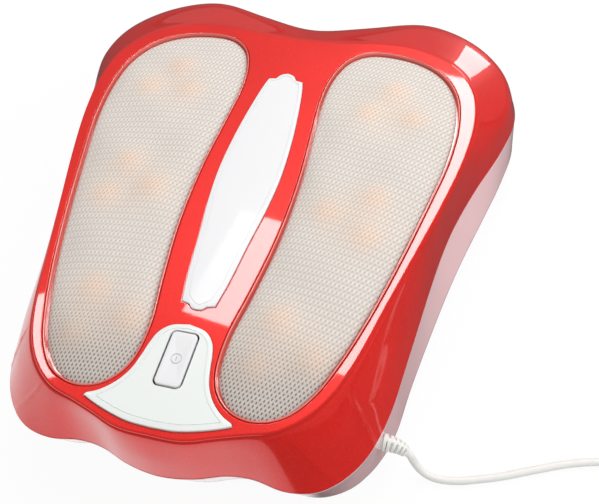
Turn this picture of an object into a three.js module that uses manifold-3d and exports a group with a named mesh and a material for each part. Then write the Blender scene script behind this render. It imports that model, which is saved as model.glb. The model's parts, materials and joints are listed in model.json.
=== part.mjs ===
// Kneading foot massager with two foot windows, six turning heads and a flexible lead.
// Millimetres, +Z up, the control panel at -Y, the origin on the floor under the middle of the body.

import * as THREE from 'three';
import { mergeVertices } from 'three/addons/utils/BufferGeometryUtils.js';
import Module from 'manifold-3d';

const wasm = await Module();
wasm.setup();

// Driving sizes of the housing
const bodyWidth = 336;
const bodyDepth = 404;
const footHeight = 4;
const partingHeight = 40;
const shoulderHeight = 62;
const deckHeight = 80;
const wall = 2.6;
const floorThickness = 2.6;
const clearance = 0.3;
const overrun = 5;

// Driving sizes of the gear train, with the way between two heads as a share of the body's depth
const toothModule = 3;
const wheelTeeth = 20;
const pinionTeeth = 10;
const trainSetback = 10;
const headReachShare = 0.2525;
const gearThickness = 8;
const backlash = 1;
const pressureAngle = THREE.MathUtils.degToRad(20);
const rootDepthShare = 1.25;
const tipHeightShare = 0.85;
const toeLean = THREE.MathUtils.degToRad(3.5);
const heelLean = THREE.MathUtils.degToRad(11.8);

// Driving sizes of the flexible lead
const cordDiameter = 4.5;
const cordRadius = cordDiameter / 2;
const cordSides = 8;
const leadSteps = 28;
const tailSteps = 6;

// Outlines of the body from the front centre round the right side to the back centre,
// as shares of half the body's width and depth
const rimShares = [
  [0, -0.965], [0.107, -0.962], [0.196, -0.937], [0.274, -0.915], [0.369, -0.89],
  [0.452, -0.831], [0.512, -0.746], [0.56, -0.627], [0.613, -0.458],
  [0.74, -0.065], [0.8, 0.159], [0.824, 0.338], [0.798, 0.498], [0.696, 0.622],
  [0.536, 0.69], [0.375, 0.7], [0.19, 0.678], [0, 0.67],
];
const shoulderShares = [
  [0, -0.985], [0.113, -0.974], [0.208, -0.945], [0.292, -0.93], [0.393, -0.925],
  [0.488, -0.883], [0.571, -0.799], [0.628, -0.672], [0.673, -0.488],
  [0.77, -0.05], [0.845, 0.184], [0.915, 0.383], [0.955, 0.562], [0.91, 0.742],
  [0.75, 0.898], [0.53, 0.972], [0.268, 0.91], [0, 0.853],
];
const edgeShares = [
  [0, -1], [0.119, -0.986], [0.214, -0.959], [0.304, -0.952], [0.411, -0.965],
  [0.524, -0.942], [0.628, -0.85], [0.687, -0.71], [0.72, -0.507],
  [0.792, -0.05], [0.875, 0.199], [0.964, 0.408], [1.012, 0.602], [0.952, 0.782],
  [0.78, 0.918], [0.542, 0.99], [0.274, 0.928], [0, 0.872],
];
const baseShares = [
  [0, -0.972], [0.113, -0.962], [0.214, -0.933], [0.31, -0.922], [0.405, -0.937],
  [0.518, -0.93], [0.628, -0.868], [0.71, -0.725], [0.75, -0.507],
  [0.85, -0.07], [0.94, 0.217], [1.0, 0.415], [1.034, 0.61], [0.968, 0.797],
  [0.79, 0.93], [0.554, 1], [0.28, 0.94], [0, 0.882],
];

// The right foot window: its width, its margins to the body's front and back, the place of its
// middle and its outline as shares of half its size
const windowWidth = 105;
const windowFrontMargin = 25.75;
const windowBackMargin = 71.75;
const windowX = 75;
const windowShares = [
  [-0.133, 0.998], [-0.438, 0.979], [-0.667, 0.907], [-0.81, 0.77], [-0.857, 0.6],
  [-0.829, 0.378], [-0.79, 0.078], [-0.819, -0.248], [-0.914, -0.522], [-1, -0.731],
  [-0.952, -0.894], [-0.762, -0.976], [-0.495, -1], [-0.21, -0.966], [0.019, -0.874],
  [0.21, -0.724], [0.4, -0.522], [0.61, -0.241], [0.8, 0.052], [0.952, 0.313],
  [1, 0.548], [0.933, 0.737], [0.705, 0.881], [0.343, 0.966],
];

// The long plate between the windows, from its front tip to its back tip
const plateWidth = 42;
const plateFrontMargin = 83;
const plateBackMargin = 110;
const plateThickness = 1.6;
const plateFrontTipShares = [[0, -1], [0.14, -0.995], [0.25, -0.972]];
const plateSideShares = [
  [0.47, -0.962], [0.6, -0.8], [0.75, -0.517], [0.92, -0.232], [1, 0.024],
  [0.955, 0.336], [0.83, 0.62], [0.68, 0.85], [0.6, 0.925],
];
const plateBackTipShares = [[0.36, 0.935], [0.22, 0.98], [0, 1]];

// The bell-shaped control panel, from its front centre to its back centre
const panelWidth = 82;
const panelLength = 61.5;
const panelFrontMargin = 11;
const panelThickness = 1.9;
const panelFrontShares = [[0, -1], [0.317, -0.977], [0.585, -0.896], [0.83, -0.789], [0.99, -0.7]];
const panelSideShares = [
  [0.97, -0.655], [0.83, -0.561], [0.659, -0.35], [0.537, -0.073], [0.476, 0.236],
  [0.439, 0.496], [0.378, 0.74], [0.244, 0.919], [0, 1],
];
const recessDepth = 0.8;

// Power button and its housing
const buttonWidth = 15.6;
const buttonLength = 33.4;
const buttonSetback = 8.75;
const buttonCorner = 3.2;
const buttonGap = 0.5;
const buttonHeight = 15;
const buttonSkirt = 1.6;
const buttonTravel = 2;
const buttonCrown = 0.7;
const switchWall = 2;
const switchDepth = 22;

// Bezel round each window and the cloth that it holds
const bezelWidth = 1.7;
const bezelLip = 3;
const bezelRise = 1.3;
const bezelLedge = 2.4;
const bezelLedgeThickness = 2.2;
const bezelDepth = 5;
const clothThickness = 1.1;
const clothCrown = 6;
const clothTopShares = [1, 0.82, 0.45];
const clothUnderShares = [0.45, 1];

// Heads
const axleRadius = 6;
const axleShoulder = 3.2;
const chassisThickness = 3;
const gearFloorGap = 3;
const knobHeight = 25;
const knobRadius = 9.5;
const knobOrbit = 19;
const knobRecess = 2.6;
const knobsPerHead = 3;
const knobSteps = 3;
const capBaseThickness = 3;
const lampFlangeRadius = 8.4;
const lampFlangeThickness = 1.5;
const lampRadius = 5;
const lampHeight = 10;
const lampShoulderShare = 0.7;
const idlerPinRadius = 4;
const shaftRadius = 3;

// Motor and gearbox under the chassis
const motorRadius = 12.5;
const motorLength = 56;
const motorBossRadius = 6;
const motorBossLength = 3;
const gearboxWidth = 37;
const gearboxLength = 46;
const gearboxCorner = 5;
const gearboxBore = 8;
const cradleWidth = 46;
const cradleThickness = 4;
const strapWidth = 12;
const strapThickness = 1.6;
const strapEar = 9;

// Fasteners, feet, columns and the circuit board
const screwRadius = 1.5;
const screwHeadRadius = 3.6;
const screwHeadHeight = 2.2;
const screwLength = 14;
const columnRadius = 5;
const postRadius = 4.6;
const bossRadius = 7;
const bossHeight = 15;
const padRadius = 9;
const padRecess = 0.9;
const boardWidth = 62;
const boardLength = 34;
const boardThickness = 1.6;
const boardFrontMargin = 35;
const boardStandoff = 5;
const ventWidth = 3.2;
const ventLength = 44;
const ventPitch = 9;
const ventCount = 6;
const ventSetback = 118;

// Roundings of the housing and the joint between its halves
const baseRounding = 6;
const baseRoundingShare = 0.3;
const rimRounding = 1.6;
const rimDrop = 1.5;
const bandSwell = 1.3;
const lipWall = 1.2;
const tongueHeight = 3;

// Places of the case screws, chassis screws, rubber feet and board pillars, as shares of half sizes
const postShares = [[0.57, -0.79], [0.72, 0.62]];
const columnShares = [[0.5, -0.735], [0.62, 0.19]];
const padShares = [[0.42, -0.82], [0.62, 0.8]];
const boardHoleShares = [[0.42, 0.38]];

// Right half of the plate that carries the axles, from front to back, as shares of half the body
const chassisShares = [
  [0, -0.48], [0.13, -0.53], [0.17, -0.74], [0.32, -0.84], [0.48, -0.81], [0.57, -0.66],
  [0.6, -0.4], [0.66, -0.1], [0.71, 0.15], [0.7, 0.42], [0.61, 0.54], [0.46, 0.57],
  [0.3, 0.5], [0.2, 0.3], [0.13, 0.22], [0, 0.22],
];

// Where the lead leaves the housing
const entryXShare = 0.681;
const entryYShare = -0.7525;
const entryHeight = 30.5;
const entryBossRadius = 8;
const entryBossLength = 11;
const entryNeckRadius = 4.6;

// Moulded strain relief with its ribbed boot
const reliefSides = 8;
const reliefFlangeRadius = 6.6;
const reliefFlangeLength = 2.2;
const reliefRootRadius = 5.2;
const reliefTipRadius = 3.5;
const ribDepth = 0.7;
const ribCount = 4;
const ribSteps = 4;
const bootSteps = ribCount * ribSteps;
const bootRun = 12.6;
const bootDrop = 5.6;

// Route of the lead from the boot to the coil; the first point and the last follow their pieces
const leadRoute = [
  [131.2, -152.4, 20], [134.2, -153.2, 13.4], [138.4, -154.4, 7.6], [144, -155.4, 3.7],
  [151, -155.6, 2.4], [161, -154, 2.25], [172, -150.6, 2.25], [186, -145.4, 2.25],
  [204, -137.4, 2.25], [223, -129.4, 2.25], [240, -124.4, 2.25], [256, -121.8, 2.25],
  [270, -121, 2.25], [284, -121, 2.25],
];
const coilRadius = 36;
const coilTurns = 6.25;
const coilSteps = 24;
const coilSides = 6;
const turnGap = 1.3;
const layerGap = 0.6;
const climbTurns = 0.5;

// Two-pin plug
const plugWidth = 35;
const plugThickness = 13.6;
const plugLength = 36;
const plugRound = 2.4;
const pinRadius = 2.1;
const pinLength = 19;
const pinSeat = 7;
const pinPitch = 18.6;
const tailLength = 46;
const tailShares = [0, 0.12, 0.5, 0.88, 1];

// Outline of the plug seen from above, from the lead's end to the face with the pins
const plugShares = [[0.34, 0], [0.42, 0.2], [0.62, 0.42], [0.94, 0.6], [1, 0.72], [0.94, 1]];

// Facets of round pieces
const wideSides = 16;
const midSides = 12;
const slimSides = 8;
const screwSides = 6;

// Sharpest corner, as a cosine, that an offset outline keeps at its full distance
const leastLeanShare = 0.6;

// Heights and places that follow
const windowLength = bodyDepth - windowFrontMargin - windowBackMargin;
const windowY = (windowFrontMargin - windowBackMargin) / 2;
const trainY = windowY - trainSetback;
const plateLength = bodyDepth - plateFrontMargin - plateBackMargin;
const plateY = (plateFrontMargin - plateBackMargin) / 2;
const panelY = (panelLength - bodyDepth) / 2 + panelFrontMargin;
const buttonY = panelY + buttonSetback;
const boardY = (boardLength - bodyDepth) / 2 + boardFrontMargin;
const ventY = bodyDepth / 2 - ventSetback;
const entryFaceX = entryXShare * bodyWidth / 2;
const entryY = entryYShare * bodyDepth / 2;
const trayFloor = footHeight + floorThickness;
const ceiling = deckHeight - wall;
const panelSeat = deckHeight - recessDepth;
const capTop = deckHeight - knobRecess;
const capBottom = capTop - knobHeight;
const gearTop = capBottom - clearance;
const gearBottom = gearTop - gearThickness;
const chassisTop = gearBottom - gearFloorGap;
const chassisBottom = chassisTop - chassisThickness;
const gearboxTop = chassisBottom - clearance;
const motorHeight = trayFloor + clearance + motorRadius + wall;
const buttonTop = panelSeat + clearance + panelThickness;
const clothSeat = deckHeight - bezelDepth + bezelLedgeThickness + clearance;
const boreRadius = screwRadius + clearance;

// Gear radii and the plan of the train: the idlers fill the way from one head to the next
const idlerTeeth = Math.round(bodyDepth * headReachShare / toothModule) - wheelTeeth;
const wheelRadius = toothModule * wheelTeeth / 2;
const idlerRadius = toothModule * idlerTeeth / 2;
const pinionRadius = toothModule * pinionTeeth / 2;
const headReach = wheelRadius + 2 * idlerRadius + wheelRadius;
const midHeadX = 3 * pinionRadius + wheelRadius;

// Materials
const colours = {
  shell: { color: 0xd8201c, roughness: 0.22, metalness: 0.1 },
  trim: { color: 0xe86a5c, roughness: 0.25, metalness: 0.1 },
  cloth: { color: 0xd9cdbf, roughness: 0.9, metalness: 0 },
  white: { color: 0xf2f3f1, roughness: 0.35, metalness: 0 },
  silver: { color: 0xe6e8e6, roughness: 0.3, metalness: 0.15 },
  amber: { color: 0xe8853a, roughness: 0.3, metalness: 0 },
  lamp: { color: 0xffb070, roughness: 0.25, metalness: 0 },
  nylon: { color: 0xe9e6dc, roughness: 0.55, metalness: 0 },
  chassis: { color: 0x3b3d40, roughness: 0.6, metalness: 0 },
  steel: { color: 0xb8bcc0, roughness: 0.35, metalness: 0.9 },
  board: { color: 0x2f6b3c, roughness: 0.6, metalness: 0 },
  rubber: { color: 0x2a2a2b, roughness: 0.9, metalness: 0 },
  lead: { color: 0xe9e9e5, roughness: 0.5, metalness: 0 },
};
const materials = Object.fromEntries(
  Object.entries(colours).map(([name, look]) => [name, new THREE.MeshStandardMaterial(look)]),
);

const massager = new THREE.Group();

// Adds one named piece to the object
function place(name, geometry, colour, x = 0, y = 0, z = 0, turn = 0) {
  const mesh = new THREE.Mesh(geometry, materials[colour]);
  mesh.name = name;
  mesh.position.set(x, y, z);
  mesh.rotation.z = turn;
  massager.add(mesh);
}

// Turns a closed geometry into a solid that can be cut and joined
function solid(geometry) {
  const bare = geometry.clone();
  bare.deleteAttribute('normal');
  bare.deleteAttribute('uv');
  const weld = clearance / 1000;
  const merged = mergeVertices(bare, weld);
  return new wasm.Manifold(new wasm.Mesh({
    numProp: 3,
    vertProperties: new Float32Array(merged.attributes.position.array),
    triVerts: new Uint32Array(merged.index.array),
  }));
}

// Turns a solid back into a geometry
function geometryOf(body) {
  const mesh = body.getMesh();
  const geometry = new THREE.BufferGeometry();
  geometry.setAttribute('position', new THREE.BufferAttribute(mesh.vertProperties, 3));
  geometry.setIndex(new THREE.BufferAttribute(mesh.triVerts, 1));
  geometry.computeVertexNormals();
  return geometry;
}

function join(...geometries) {
  return geometries.map(solid).reduce((whole, part) => whole.add(part));
}

// Samples a smooth curve through share points scaled to half sizes about a middle
function spline(shares, halfWidth, halfLength, x, y, steps, closed = false) {
  const at = ([u, v]) => new THREE.Vector3(x + u * halfWidth, y + v * halfLength, 0);
  const points = shares.map(at);
  const curve = new THREE.CatmullRomCurve3(points, closed, 'centripetal');
  const spans = closed ? points.length : points.length - 1;
  const samples = curve.getPoints(spans * steps).map((p) => new THREE.Vector2(p.x, p.y));
  return closed ? samples.slice(0, -1) : samples;
}

// Completes a half outline, given from front centre to back centre, with its mirror image
function withMirror(half) {
  const left = half.slice(1, -1).reverse().map((p) => new THREE.Vector2(-p.x, p.y));
  return [...half, ...left];
}

// A closed body outline that is smooth across its middle line
function bodyOutline(shares) {
  const left = shares.slice(1, -1).reverse().map(([u, v]) => [-u, v]);
  return spline([...shares, ...left], bodyWidth / 2, bodyDepth / 2, 0, 0, 2, true);
}

// Moves an anticlockwise outline outward, or inward for a negative distance
function offset(outline, distance) {
  const count = outline.length;
  return outline.map((point, i) => {
    const before = outline[(i + count - 1) % count];
    const after = outline[(i + 1) % count];
    const into = point.clone().sub(before).normalize();
    const out = after.clone().sub(point).normalize();
    const along = into.clone().add(out).normalize();
    const lean = Math.max(Math.abs(along.dot(out)), leastLeanShare);
    const normal = new THREE.Vector2(along.y, -along.x);
    return point.clone().addScaledVector(normal, distance / lean);
  });
}

function blend(from, to, share) {
  return from.map((point, i) => point.clone().lerp(to[i], share));
}

// Skins a stack of outlines, each with its height, and closes both ends
function loft(rings) {
  const count = rings[0].outline.length;
  const positions = rings.flatMap(({ outline, height }) => outline.flatMap((p) => [p.x, p.y, height]));
  const index = [];
  for (let r = 0; r < rings.length - 1; r += 1) {
    for (let i = 0; i < count; i += 1) {
      const a = r * count + i;
      const b = r * count + (i + 1) % count;
      index.push(a, b, b + count, a, b + count, a + count);
    }
  }
  const last = (rings.length - 1) * count;
  for (const [a, b, c] of THREE.ShapeUtils.triangulateShape(rings[0].outline, [])) {
    index.push(a, c, b);
  }
  for (const [a, b, c] of THREE.ShapeUtils.triangulateShape(rings.at(-1).outline, [])) {
    index.push(last + a, last + b, last + c);
  }
  return indexed(positions, index);
}

function indexed(positions, index) {
  const geometry = new THREE.BufferGeometry();
  geometry.setAttribute('position', new THREE.Float32BufferAttribute(positions, 3));
  geometry.setIndex(index);
  geometry.computeVertexNormals();
  return geometry;
}

// Runs a closed profile of [outward offset, height] points round an outline
function frameAround(outline, profile) {
  const count = outline.length;
  const rings = profile.map(([out, height]) => ({ outline: offset(outline, out), height }));
  const positions = rings.flatMap((ring) => ring.outline.flatMap((p) => [p.x, p.y, ring.height]));
  const index = [];
  rings.forEach((ring, r) => {
    const next = (r + 1) % rings.length;
    for (let i = 0; i < count; i += 1) {
      const j = (i + 1) % count;
      index.push(r * count + i, r * count + j, next * count + j);
      index.push(r * count + i, next * count + j, next * count + i);
    }
  });
  return indexed(positions, index);
}

// An upright prism of an outline between two heights, with round or shaped holes
function prism(outline, low, high, holes = []) {
  const shape = new THREE.Shape(outline);
  shape.holes = holes.map((hole) => new THREE.Path(hole));
  const geometry = new THREE.ExtrudeGeometry(shape, { depth: high - low, bevelEnabled: false });
  return geometry.translate(0, 0, low);
}

function circle(radius, segments, x = 0, y = 0) {
  const points = [];
  for (let i = 0; i < segments; i += 1) {
    const angle = 2 * Math.PI * i / segments;
    points.push(new THREE.Vector2(x + radius * Math.cos(angle), y + radius * Math.sin(angle)));
  }
  return points;
}

// A hole whose flats lie at the radius, so that a round piece turns in it
function roundHole(radius, x = 0, y = 0) {
  return circle(radius / Math.cos(Math.PI / slimSides), slimSides, x, y);
}

// A rectangle with round corners, anticlockwise
function roundedRectangle(width, length, corner, x, y, steps = 3) {
  const points = [];
  const middles = [[1, -1], [1, 1], [-1, 1], [-1, -1]];
  middles.forEach(([sx, sy], quarter) => {
    for (let i = 0; i <= steps; i += 1) {
      const angle = (quarter - 1 + i / steps) * Math.PI / 2;
      points.push(new THREE.Vector2(
        x + sx * (width / 2 - corner) + corner * Math.cos(angle),
        y + sy * (length / 2 - corner) + corner * Math.sin(angle),
      ));
    }
  });
  return points;
}

// A round piece turned about an upright axis from a profile of [radius, height] points
function turned(profile, segments) {
  const points = profile.map(([radius, height]) => new THREE.Vector2(radius, height));
  return new THREE.LatheGeometry(points, segments).rotateX(Math.PI / 2);
}

function cylinder(radius, low, high, segments, x = 0, y = 0) {
  const geometry = turned([[0, low], [radius, low], [radius, high], [0, high]], segments);
  return geometry.translate(x, y, 0);
}

function block(width, length, low, high, x, y) {
  const geometry = new THREE.BoxGeometry(width, length, high - low);
  return geometry.translate(x, y, (low + high) / 2);
}

// A round tube of varying radius through points, closed with flat ends
function ringedTube(points, radii, sides) {
  const count = points.length;
  const positions = [];
  const index = [];
  const up = new THREE.Vector3(0, 0, 1);
  points.forEach((point, k) => {
    const before = points[Math.max(k - 1, 0)];
    const after = points[Math.min(k + 1, count - 1)];
    const along = after.clone().sub(before).normalize();
    const side = new THREE.Vector3().crossVectors(along, up).normalize();
    const over = new THREE.Vector3().crossVectors(side, along);
    for (let i = 0; i < sides; i += 1) {
      const angle = 2 * Math.PI * (i + 0.5) / sides;
      const spot = point.clone();
      spot.addScaledVector(side, radii[k] * Math.cos(angle));
      spot.addScaledVector(over, radii[k] * Math.sin(angle));
      positions.push(spot.x, spot.y, spot.z);
    }
  });
  for (let k = 0; k < count - 1; k += 1) {
    for (let i = 0; i < sides; i += 1) {
      const a = k * sides + i;
      const b = k * sides + (i + 1) % sides;
      index.push(a, b + sides, b, a, a + sides, b + sides);
    }
  }
  for (let i = 1; i < sides - 1; i += 1) {
    index.push(0, i, i + 1);
    const last = (count - 1) * sides;
    index.push(last, last + i + 1, last + i);
  }
  return indexed(positions, index);
}

const rim = bodyOutline(rimShares);
const shoulder = bodyOutline(shoulderShares);
const edge = bodyOutline(edgeShares);
const base = bodyOutline(baseShares);
const windowOutline = spline(
  windowShares, windowWidth / 2, windowLength / 2, windowX, windowY, 2, true,
);
const plateOutline = withMirror([
  ...spline(plateFrontTipShares, plateWidth / 2, plateLength / 2, 0, plateY, 1),
  ...spline(plateSideShares, plateWidth / 2, plateLength / 2, 0, plateY, 2),
  ...spline(plateBackTipShares, plateWidth / 2, plateLength / 2, 0, plateY, 1),
]);
const panelOutline = withMirror([
  ...spline(panelFrontShares, panelWidth / 2, panelLength / 2, 0, panelY, 1),
  ...spline(panelSideShares, panelWidth / 2, panelLength / 2, 0, panelY, 2),
]);
const buttonHole = roundedRectangle(
  buttonWidth + 2 * buttonGap, buttonLength + 2 * buttonGap, buttonCorner + buttonGap, 0, buttonY,
);

function mirroredOutline(outline) {
  return outline.map((p) => new THREE.Vector2(-p.x, p.y)).reverse();
}

// Places of the heads, idlers and the drive gear on the right side
const headPlaces = {
  mid: new THREE.Vector2(midHeadX, trainY),
  back: new THREE.Vector2(
    midHeadX + headReach * Math.sin(toeLean), trainY + headReach * Math.cos(toeLean),
  ),
  front: new THREE.Vector2(
    midHeadX - headReach * Math.sin(heelLean), trainY - headReach * Math.cos(heelLean),
  ),
};
const idlerPlaces = {
  back: headPlaces.mid.clone().lerp(headPlaces.back, 1 / 2),
  front: headPlaces.mid.clone().lerp(headPlaces.front, 1 / 2),
};
const transferX = 2 * pinionRadius;

function fourPlaces(shares, halfWidth, halfLength, y = 0) {
  const right = shares.map(([u, v]) => [u * halfWidth, y + v * halfLength]);
  return [...right, ...right.map(([px, py]) => [-px, py])];
}

const postPlaces = fourPlaces(postShares, bodyWidth / 2, bodyDepth / 2);
const columnPlaces = fourPlaces(columnShares, bodyWidth / 2, bodyDepth / 2);
const padPlaces = fourPlaces(padShares, bodyWidth / 2, bodyDepth / 2);

// Outer rings of the whole body, from the underside to the deck
const chamfer = baseRounding * baseRoundingShare;
const lowerRings = [
  { outline: offset(base, -baseRounding), height: footHeight },
  { outline: offset(base, -chamfer), height: footHeight + chamfer },
  { outline: base, height: footHeight + baseRounding },
];
const upperRings = [
  { outline: shoulder, height: shoulderHeight },
  { outline: blend(shoulder, rim, 1 / 2), height: (shoulderHeight + deckHeight) / 2 + bandSwell },
  { outline: rim, height: deckHeight - rimDrop },
  { outline: offset(rim, -rimRounding), height: deckHeight },
];
const hull = solid(loft([
  ...lowerRings,
  { outline: edge, height: partingHeight },
  ...upperRings,
]));

// Outline of the leaning outer wall at a height between the parting line and the shoulder
function wallAt(height) {
  return blend(edge, shoulder, (height - partingHeight) / (shoulderHeight - partingHeight));
}

// Lower housing: a tray with columns, bosses, a motor cradle, vents and the cord entry
function bottomShell() {
  const tongueFace = lipWall + clearance;
  const seam = partingHeight - clearance / 2;
  const tongueTop = partingHeight + tongueHeight;
  const tray = solid(loft([
    ...lowerRings,
    { outline: edge, height: seam },
    { outline: offset(edge, -tongueFace), height: seam },
    { outline: offset(wallAt(tongueTop), -tongueFace), height: tongueTop },
    { outline: offset(wallAt(tongueTop), -wall), height: tongueTop },
    { outline: offset(base, -wall), height: footHeight + baseRounding },
    { outline: offset(base, -wall - baseRounding), height: trayFloor },
  ]));
  let shell = tray;
  const root = trayFloor - floorThickness / 2;
  const add = (geometry) => {
    shell = shell.add(solid(geometry));
  };
  const cut = (geometry) => {
    shell = shell.subtract(solid(geometry));
  };
  for (const [x, y] of columnPlaces) {
    add(cylinder(columnRadius, root, chassisBottom - clearance, slimSides, x, y));
    cut(cylinder(boreRadius, chassisBottom - screwLength, chassisTop, slimSides, x, y));
  }
  for (const [x, y] of postPlaces) {
    const seat = trayFloor + screwHeadHeight;
    add(cylinder(bossRadius, root, bossHeight, midSides, x, y));
    cut(cylinder(boreRadius, -overrun, bossHeight + overrun, slimSides, x, y));
    cut(cylinder(screwHeadRadius + clearance, -overrun, seat, slimSides, x, y));
  }
  for (const [x, y] of boardPillars()) {
    add(cylinder(screwHeadRadius, root, trayFloor + boardStandoff, slimSides, x, y));
  }
  for (const y of cradlePlaces()) {
    const rib = solid(block(cradleWidth, cradleThickness, root, motorHeight, 0, y));
    const bed = cylinder(motorRadius + clearance, -motorLength, motorLength, wideSides);
    shell = shell.add(rib.subtract(solid(bed.rotateX(Math.PI / 2).translate(0, y, motorHeight))));
  }
  for (const [x, y] of padPlaces) {
    cut(cylinder(padRadius + clearance, -overrun, footHeight + padRecess, midSides, x, y));
  }
  for (let i = 0; i < ventCount; i += 1) {
    const y = ventY + (i - (ventCount - 1) / 2) * ventPitch;
    cut(block(ventLength, ventWidth, -overrun, trayFloor + overrun, 0, y));
  }
  const bossEnd = entryFaceX - entryBossLength;
  add(alongX(entryBossRadius, bossEnd, entryFaceX, wideSides));
  cut(alongX(entryNeckRadius + clearance, bossEnd - overrun, entryFaceX + overrun, midSides));
  cut(alongX(reliefRootRadius + 2 * clearance, entryFaceX, entryFaceX + overrun, wideSides));
  return shell;
}

// A cylinder that lies along X at the cord entry
function alongX(radius, from, to, segments) {
  const geometry = cylinder(radius, from, to, segments).rotateY(Math.PI / 2);
  return geometry.translate(0, entryY, entryHeight);
}

function boardPillars() {
  return fourPlaces(boardHoleShares, boardWidth, boardLength, boardY)
    .flatMap(([x, y]) => [[x, y], [x, 2 * boardY - y]]);
}

function cradlePlaces() {
  const start = trainY + gearboxLength / 2 + motorBossLength;
  return [start + motorLength / 4, start + motorLength * 3 / 4];
}

// Upper housing: deck with two windows, plate and panel recesses and screw posts
function topShell() {
  const seam = partingHeight + clearance / 2;
  const lipTop = partingHeight + tongueHeight + clearance;
  let shell = solid(loft([
    { outline: offset(rim, -wall - rimRounding), height: ceiling },
    { outline: offset(shoulder, -wall), height: shoulderHeight - wall / 2 },
    { outline: offset(wallAt(lipTop), -wall), height: lipTop },
    { outline: offset(wallAt(lipTop), -lipWall), height: lipTop },
    { outline: offset(edge, -lipWall), height: seam },
    { outline: edge, height: seam },
    ...upperRings,
  ]));
  const cut = (geometry) => {
    shell = shell.subtract(solid(geometry));
  };
  for (const [x, y] of postPlaces) {
    const low = bossHeight + clearance;
    const post = solid(cylinder(postRadius, low, deckHeight, slimSides, x, y));
    shell = shell.add(post.intersect(hull));
    cut(cylinder(boreRadius, trayFloor, bossHeight + screwLength, slimSides, x, y));
  }
  const hole = offset(windowOutline, bezelWidth + clearance);
  const cutLow = ceiling - overrun;
  const cutHigh = deckHeight + overrun;
  cut(prism(hole, cutLow, cutHigh));
  cut(prism(mirroredOutline(hole), cutLow, cutHigh));
  cut(prism(offset(plateOutline, clearance), panelSeat, cutHigh));
  cut(prism(offset(panelOutline, clearance), panelSeat, cutHigh));
  cut(prism(buttonHole, cutLow, cutHigh));
  return shell;
}

// Frame that clamps the cloth in a window, with its bright lip over the deck
function bezel(outline) {
  const lipUnder = deckHeight + clearance;
  const crest = deckHeight + bezelRise;
  const ledgeTop = clothSeat - clearance;
  return frameAround(outline, [
    [-bezelLedge, deckHeight - bezelDepth],
    [bezelWidth, deckHeight - bezelDepth],
    [bezelWidth, lipUnder],
    [bezelLip, lipUnder],
    [bezelLip / 2, crest],
    [0, ledgeTop],
    [-bezelLedge, ledgeTop],
  ]);
}

// Taut cloth over a window: a thin domed solid that rests on the ledge of its bezel
function clothDome(outline) {
  const rimEdge = offset(outline, -clearance);
  const centre = new THREE.Vector2(windowX, windowY);
  const ringAt = (share, lift) => ({
    outline: rimEdge.map((p) => centre.clone().lerp(p, share)),
    height: clothSeat + lift + clothCrown * (1 - share ** 2),
  });
  return loft([
    ...clothUnderShares.map((share) => ringAt(share, 0)),
    ...clothTopShares.map((share) => ringAt(share, clothThickness)),
  ]);
}

function mirrored(geometry) {
  const copy = geometry.clone().scale(-1, 1, 1);
  const source = copy.index.array;
  const flipped = [];
  for (let i = 0; i < source.length; i += 3) {
    flipped.push(source[i], source[i + 2], source[i + 1]);
  }
  copy.setIndex(flipped);
  copy.computeVertexNormals();
  return copy;
}

// Gears: straight flanks, thinned by the backlash, with a tooth centred on angle zero
function gearOutline(teeth) {
  const pitch = toothModule * teeth / 2;
  const halfTooth = (Math.PI * toothModule / 2 - backlash) / 2;
  const rise = toothModule * tipHeightShare;
  const drop = toothModule * rootDepthShare;
  const tipHalf = halfTooth - rise * Math.tan(pressureAngle);
  const rootHalf = halfTooth + drop * Math.tan(pressureAngle);
  const corners = [
    [pitch - drop, -rootHalf], [pitch + rise, -tipHalf],
    [pitch + rise, tipHalf], [pitch - drop, rootHalf],
  ];
  const points = [];
  for (let i = 0; i < teeth; i += 1) {
    for (const [radius, half] of corners) {
      const angle = 2 * Math.PI * i / teeth + half / radius;
      points.push(new THREE.Vector2(radius * Math.cos(angle), radius * Math.sin(angle)));
    }
  }
  return points;
}

function gear(teeth, bore) {
  return prism(gearOutline(teeth), 0, gearThickness, [roundHole(bore)]);
}

// Turn of a gear that lets it mesh with its neighbour, whose own turn is given
function meshedTurn(place, teeth, neighbourPlace, neighbourTeeth, neighbourTurn) {
  const heading = Math.atan2(place.y - neighbourPlace.y, place.x - neighbourPlace.x);
  const phase = (heading - neighbourTurn) * neighbourTeeth / (2 * Math.PI);
  return heading + Math.PI - (1 / 2 - phase) * 2 * Math.PI / teeth;
}

// Three rounded knobs on one translucent ring
function headCap() {
  const orbitEdge = knobOrbit + knobRadius;
  const inner = lampFlangeRadius + clearance;
  const ring = prism(circle(orbitEdge, wideSides), 0, capBaseThickness, [roundHole(inner)]);
  let cap = solid(ring);
  const profile = [[0, 0], [knobRadius, 0]];
  for (let i = 0; i <= knobSteps; i += 1) {
    const angle = Math.PI / 2 * i / knobSteps;
    const radius = i === knobSteps ? 0 : knobRadius * Math.cos(angle);
    profile.push([radius, knobHeight - knobRadius + knobRadius * Math.sin(angle)]);
  }
  for (let i = 0; i < knobsPerHead; i += 1) {
    const angle = 2 * Math.PI * i / knobsPerHead;
    const knob = turned(profile, slimSides);
    knob.translate(knobOrbit * Math.cos(angle), knobOrbit * Math.sin(angle), 0);
    cap = cap.add(solid(knob));
  }
  return geometryOf(cap);
}

function lamp() {
  const neck = lampFlangeThickness + lampHeight / 2;
  const shoulderRadius = lampRadius * lampShoulderShare;
  return turned([
    [0, 0], [lampFlangeRadius, 0], [lampFlangeRadius, lampFlangeThickness],
    [lampRadius, lampFlangeThickness], [lampRadius, neck],
    [shoulderRadius, neck + shoulderRadius], [0, lampHeight],
  ], slimSides);
}

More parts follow.
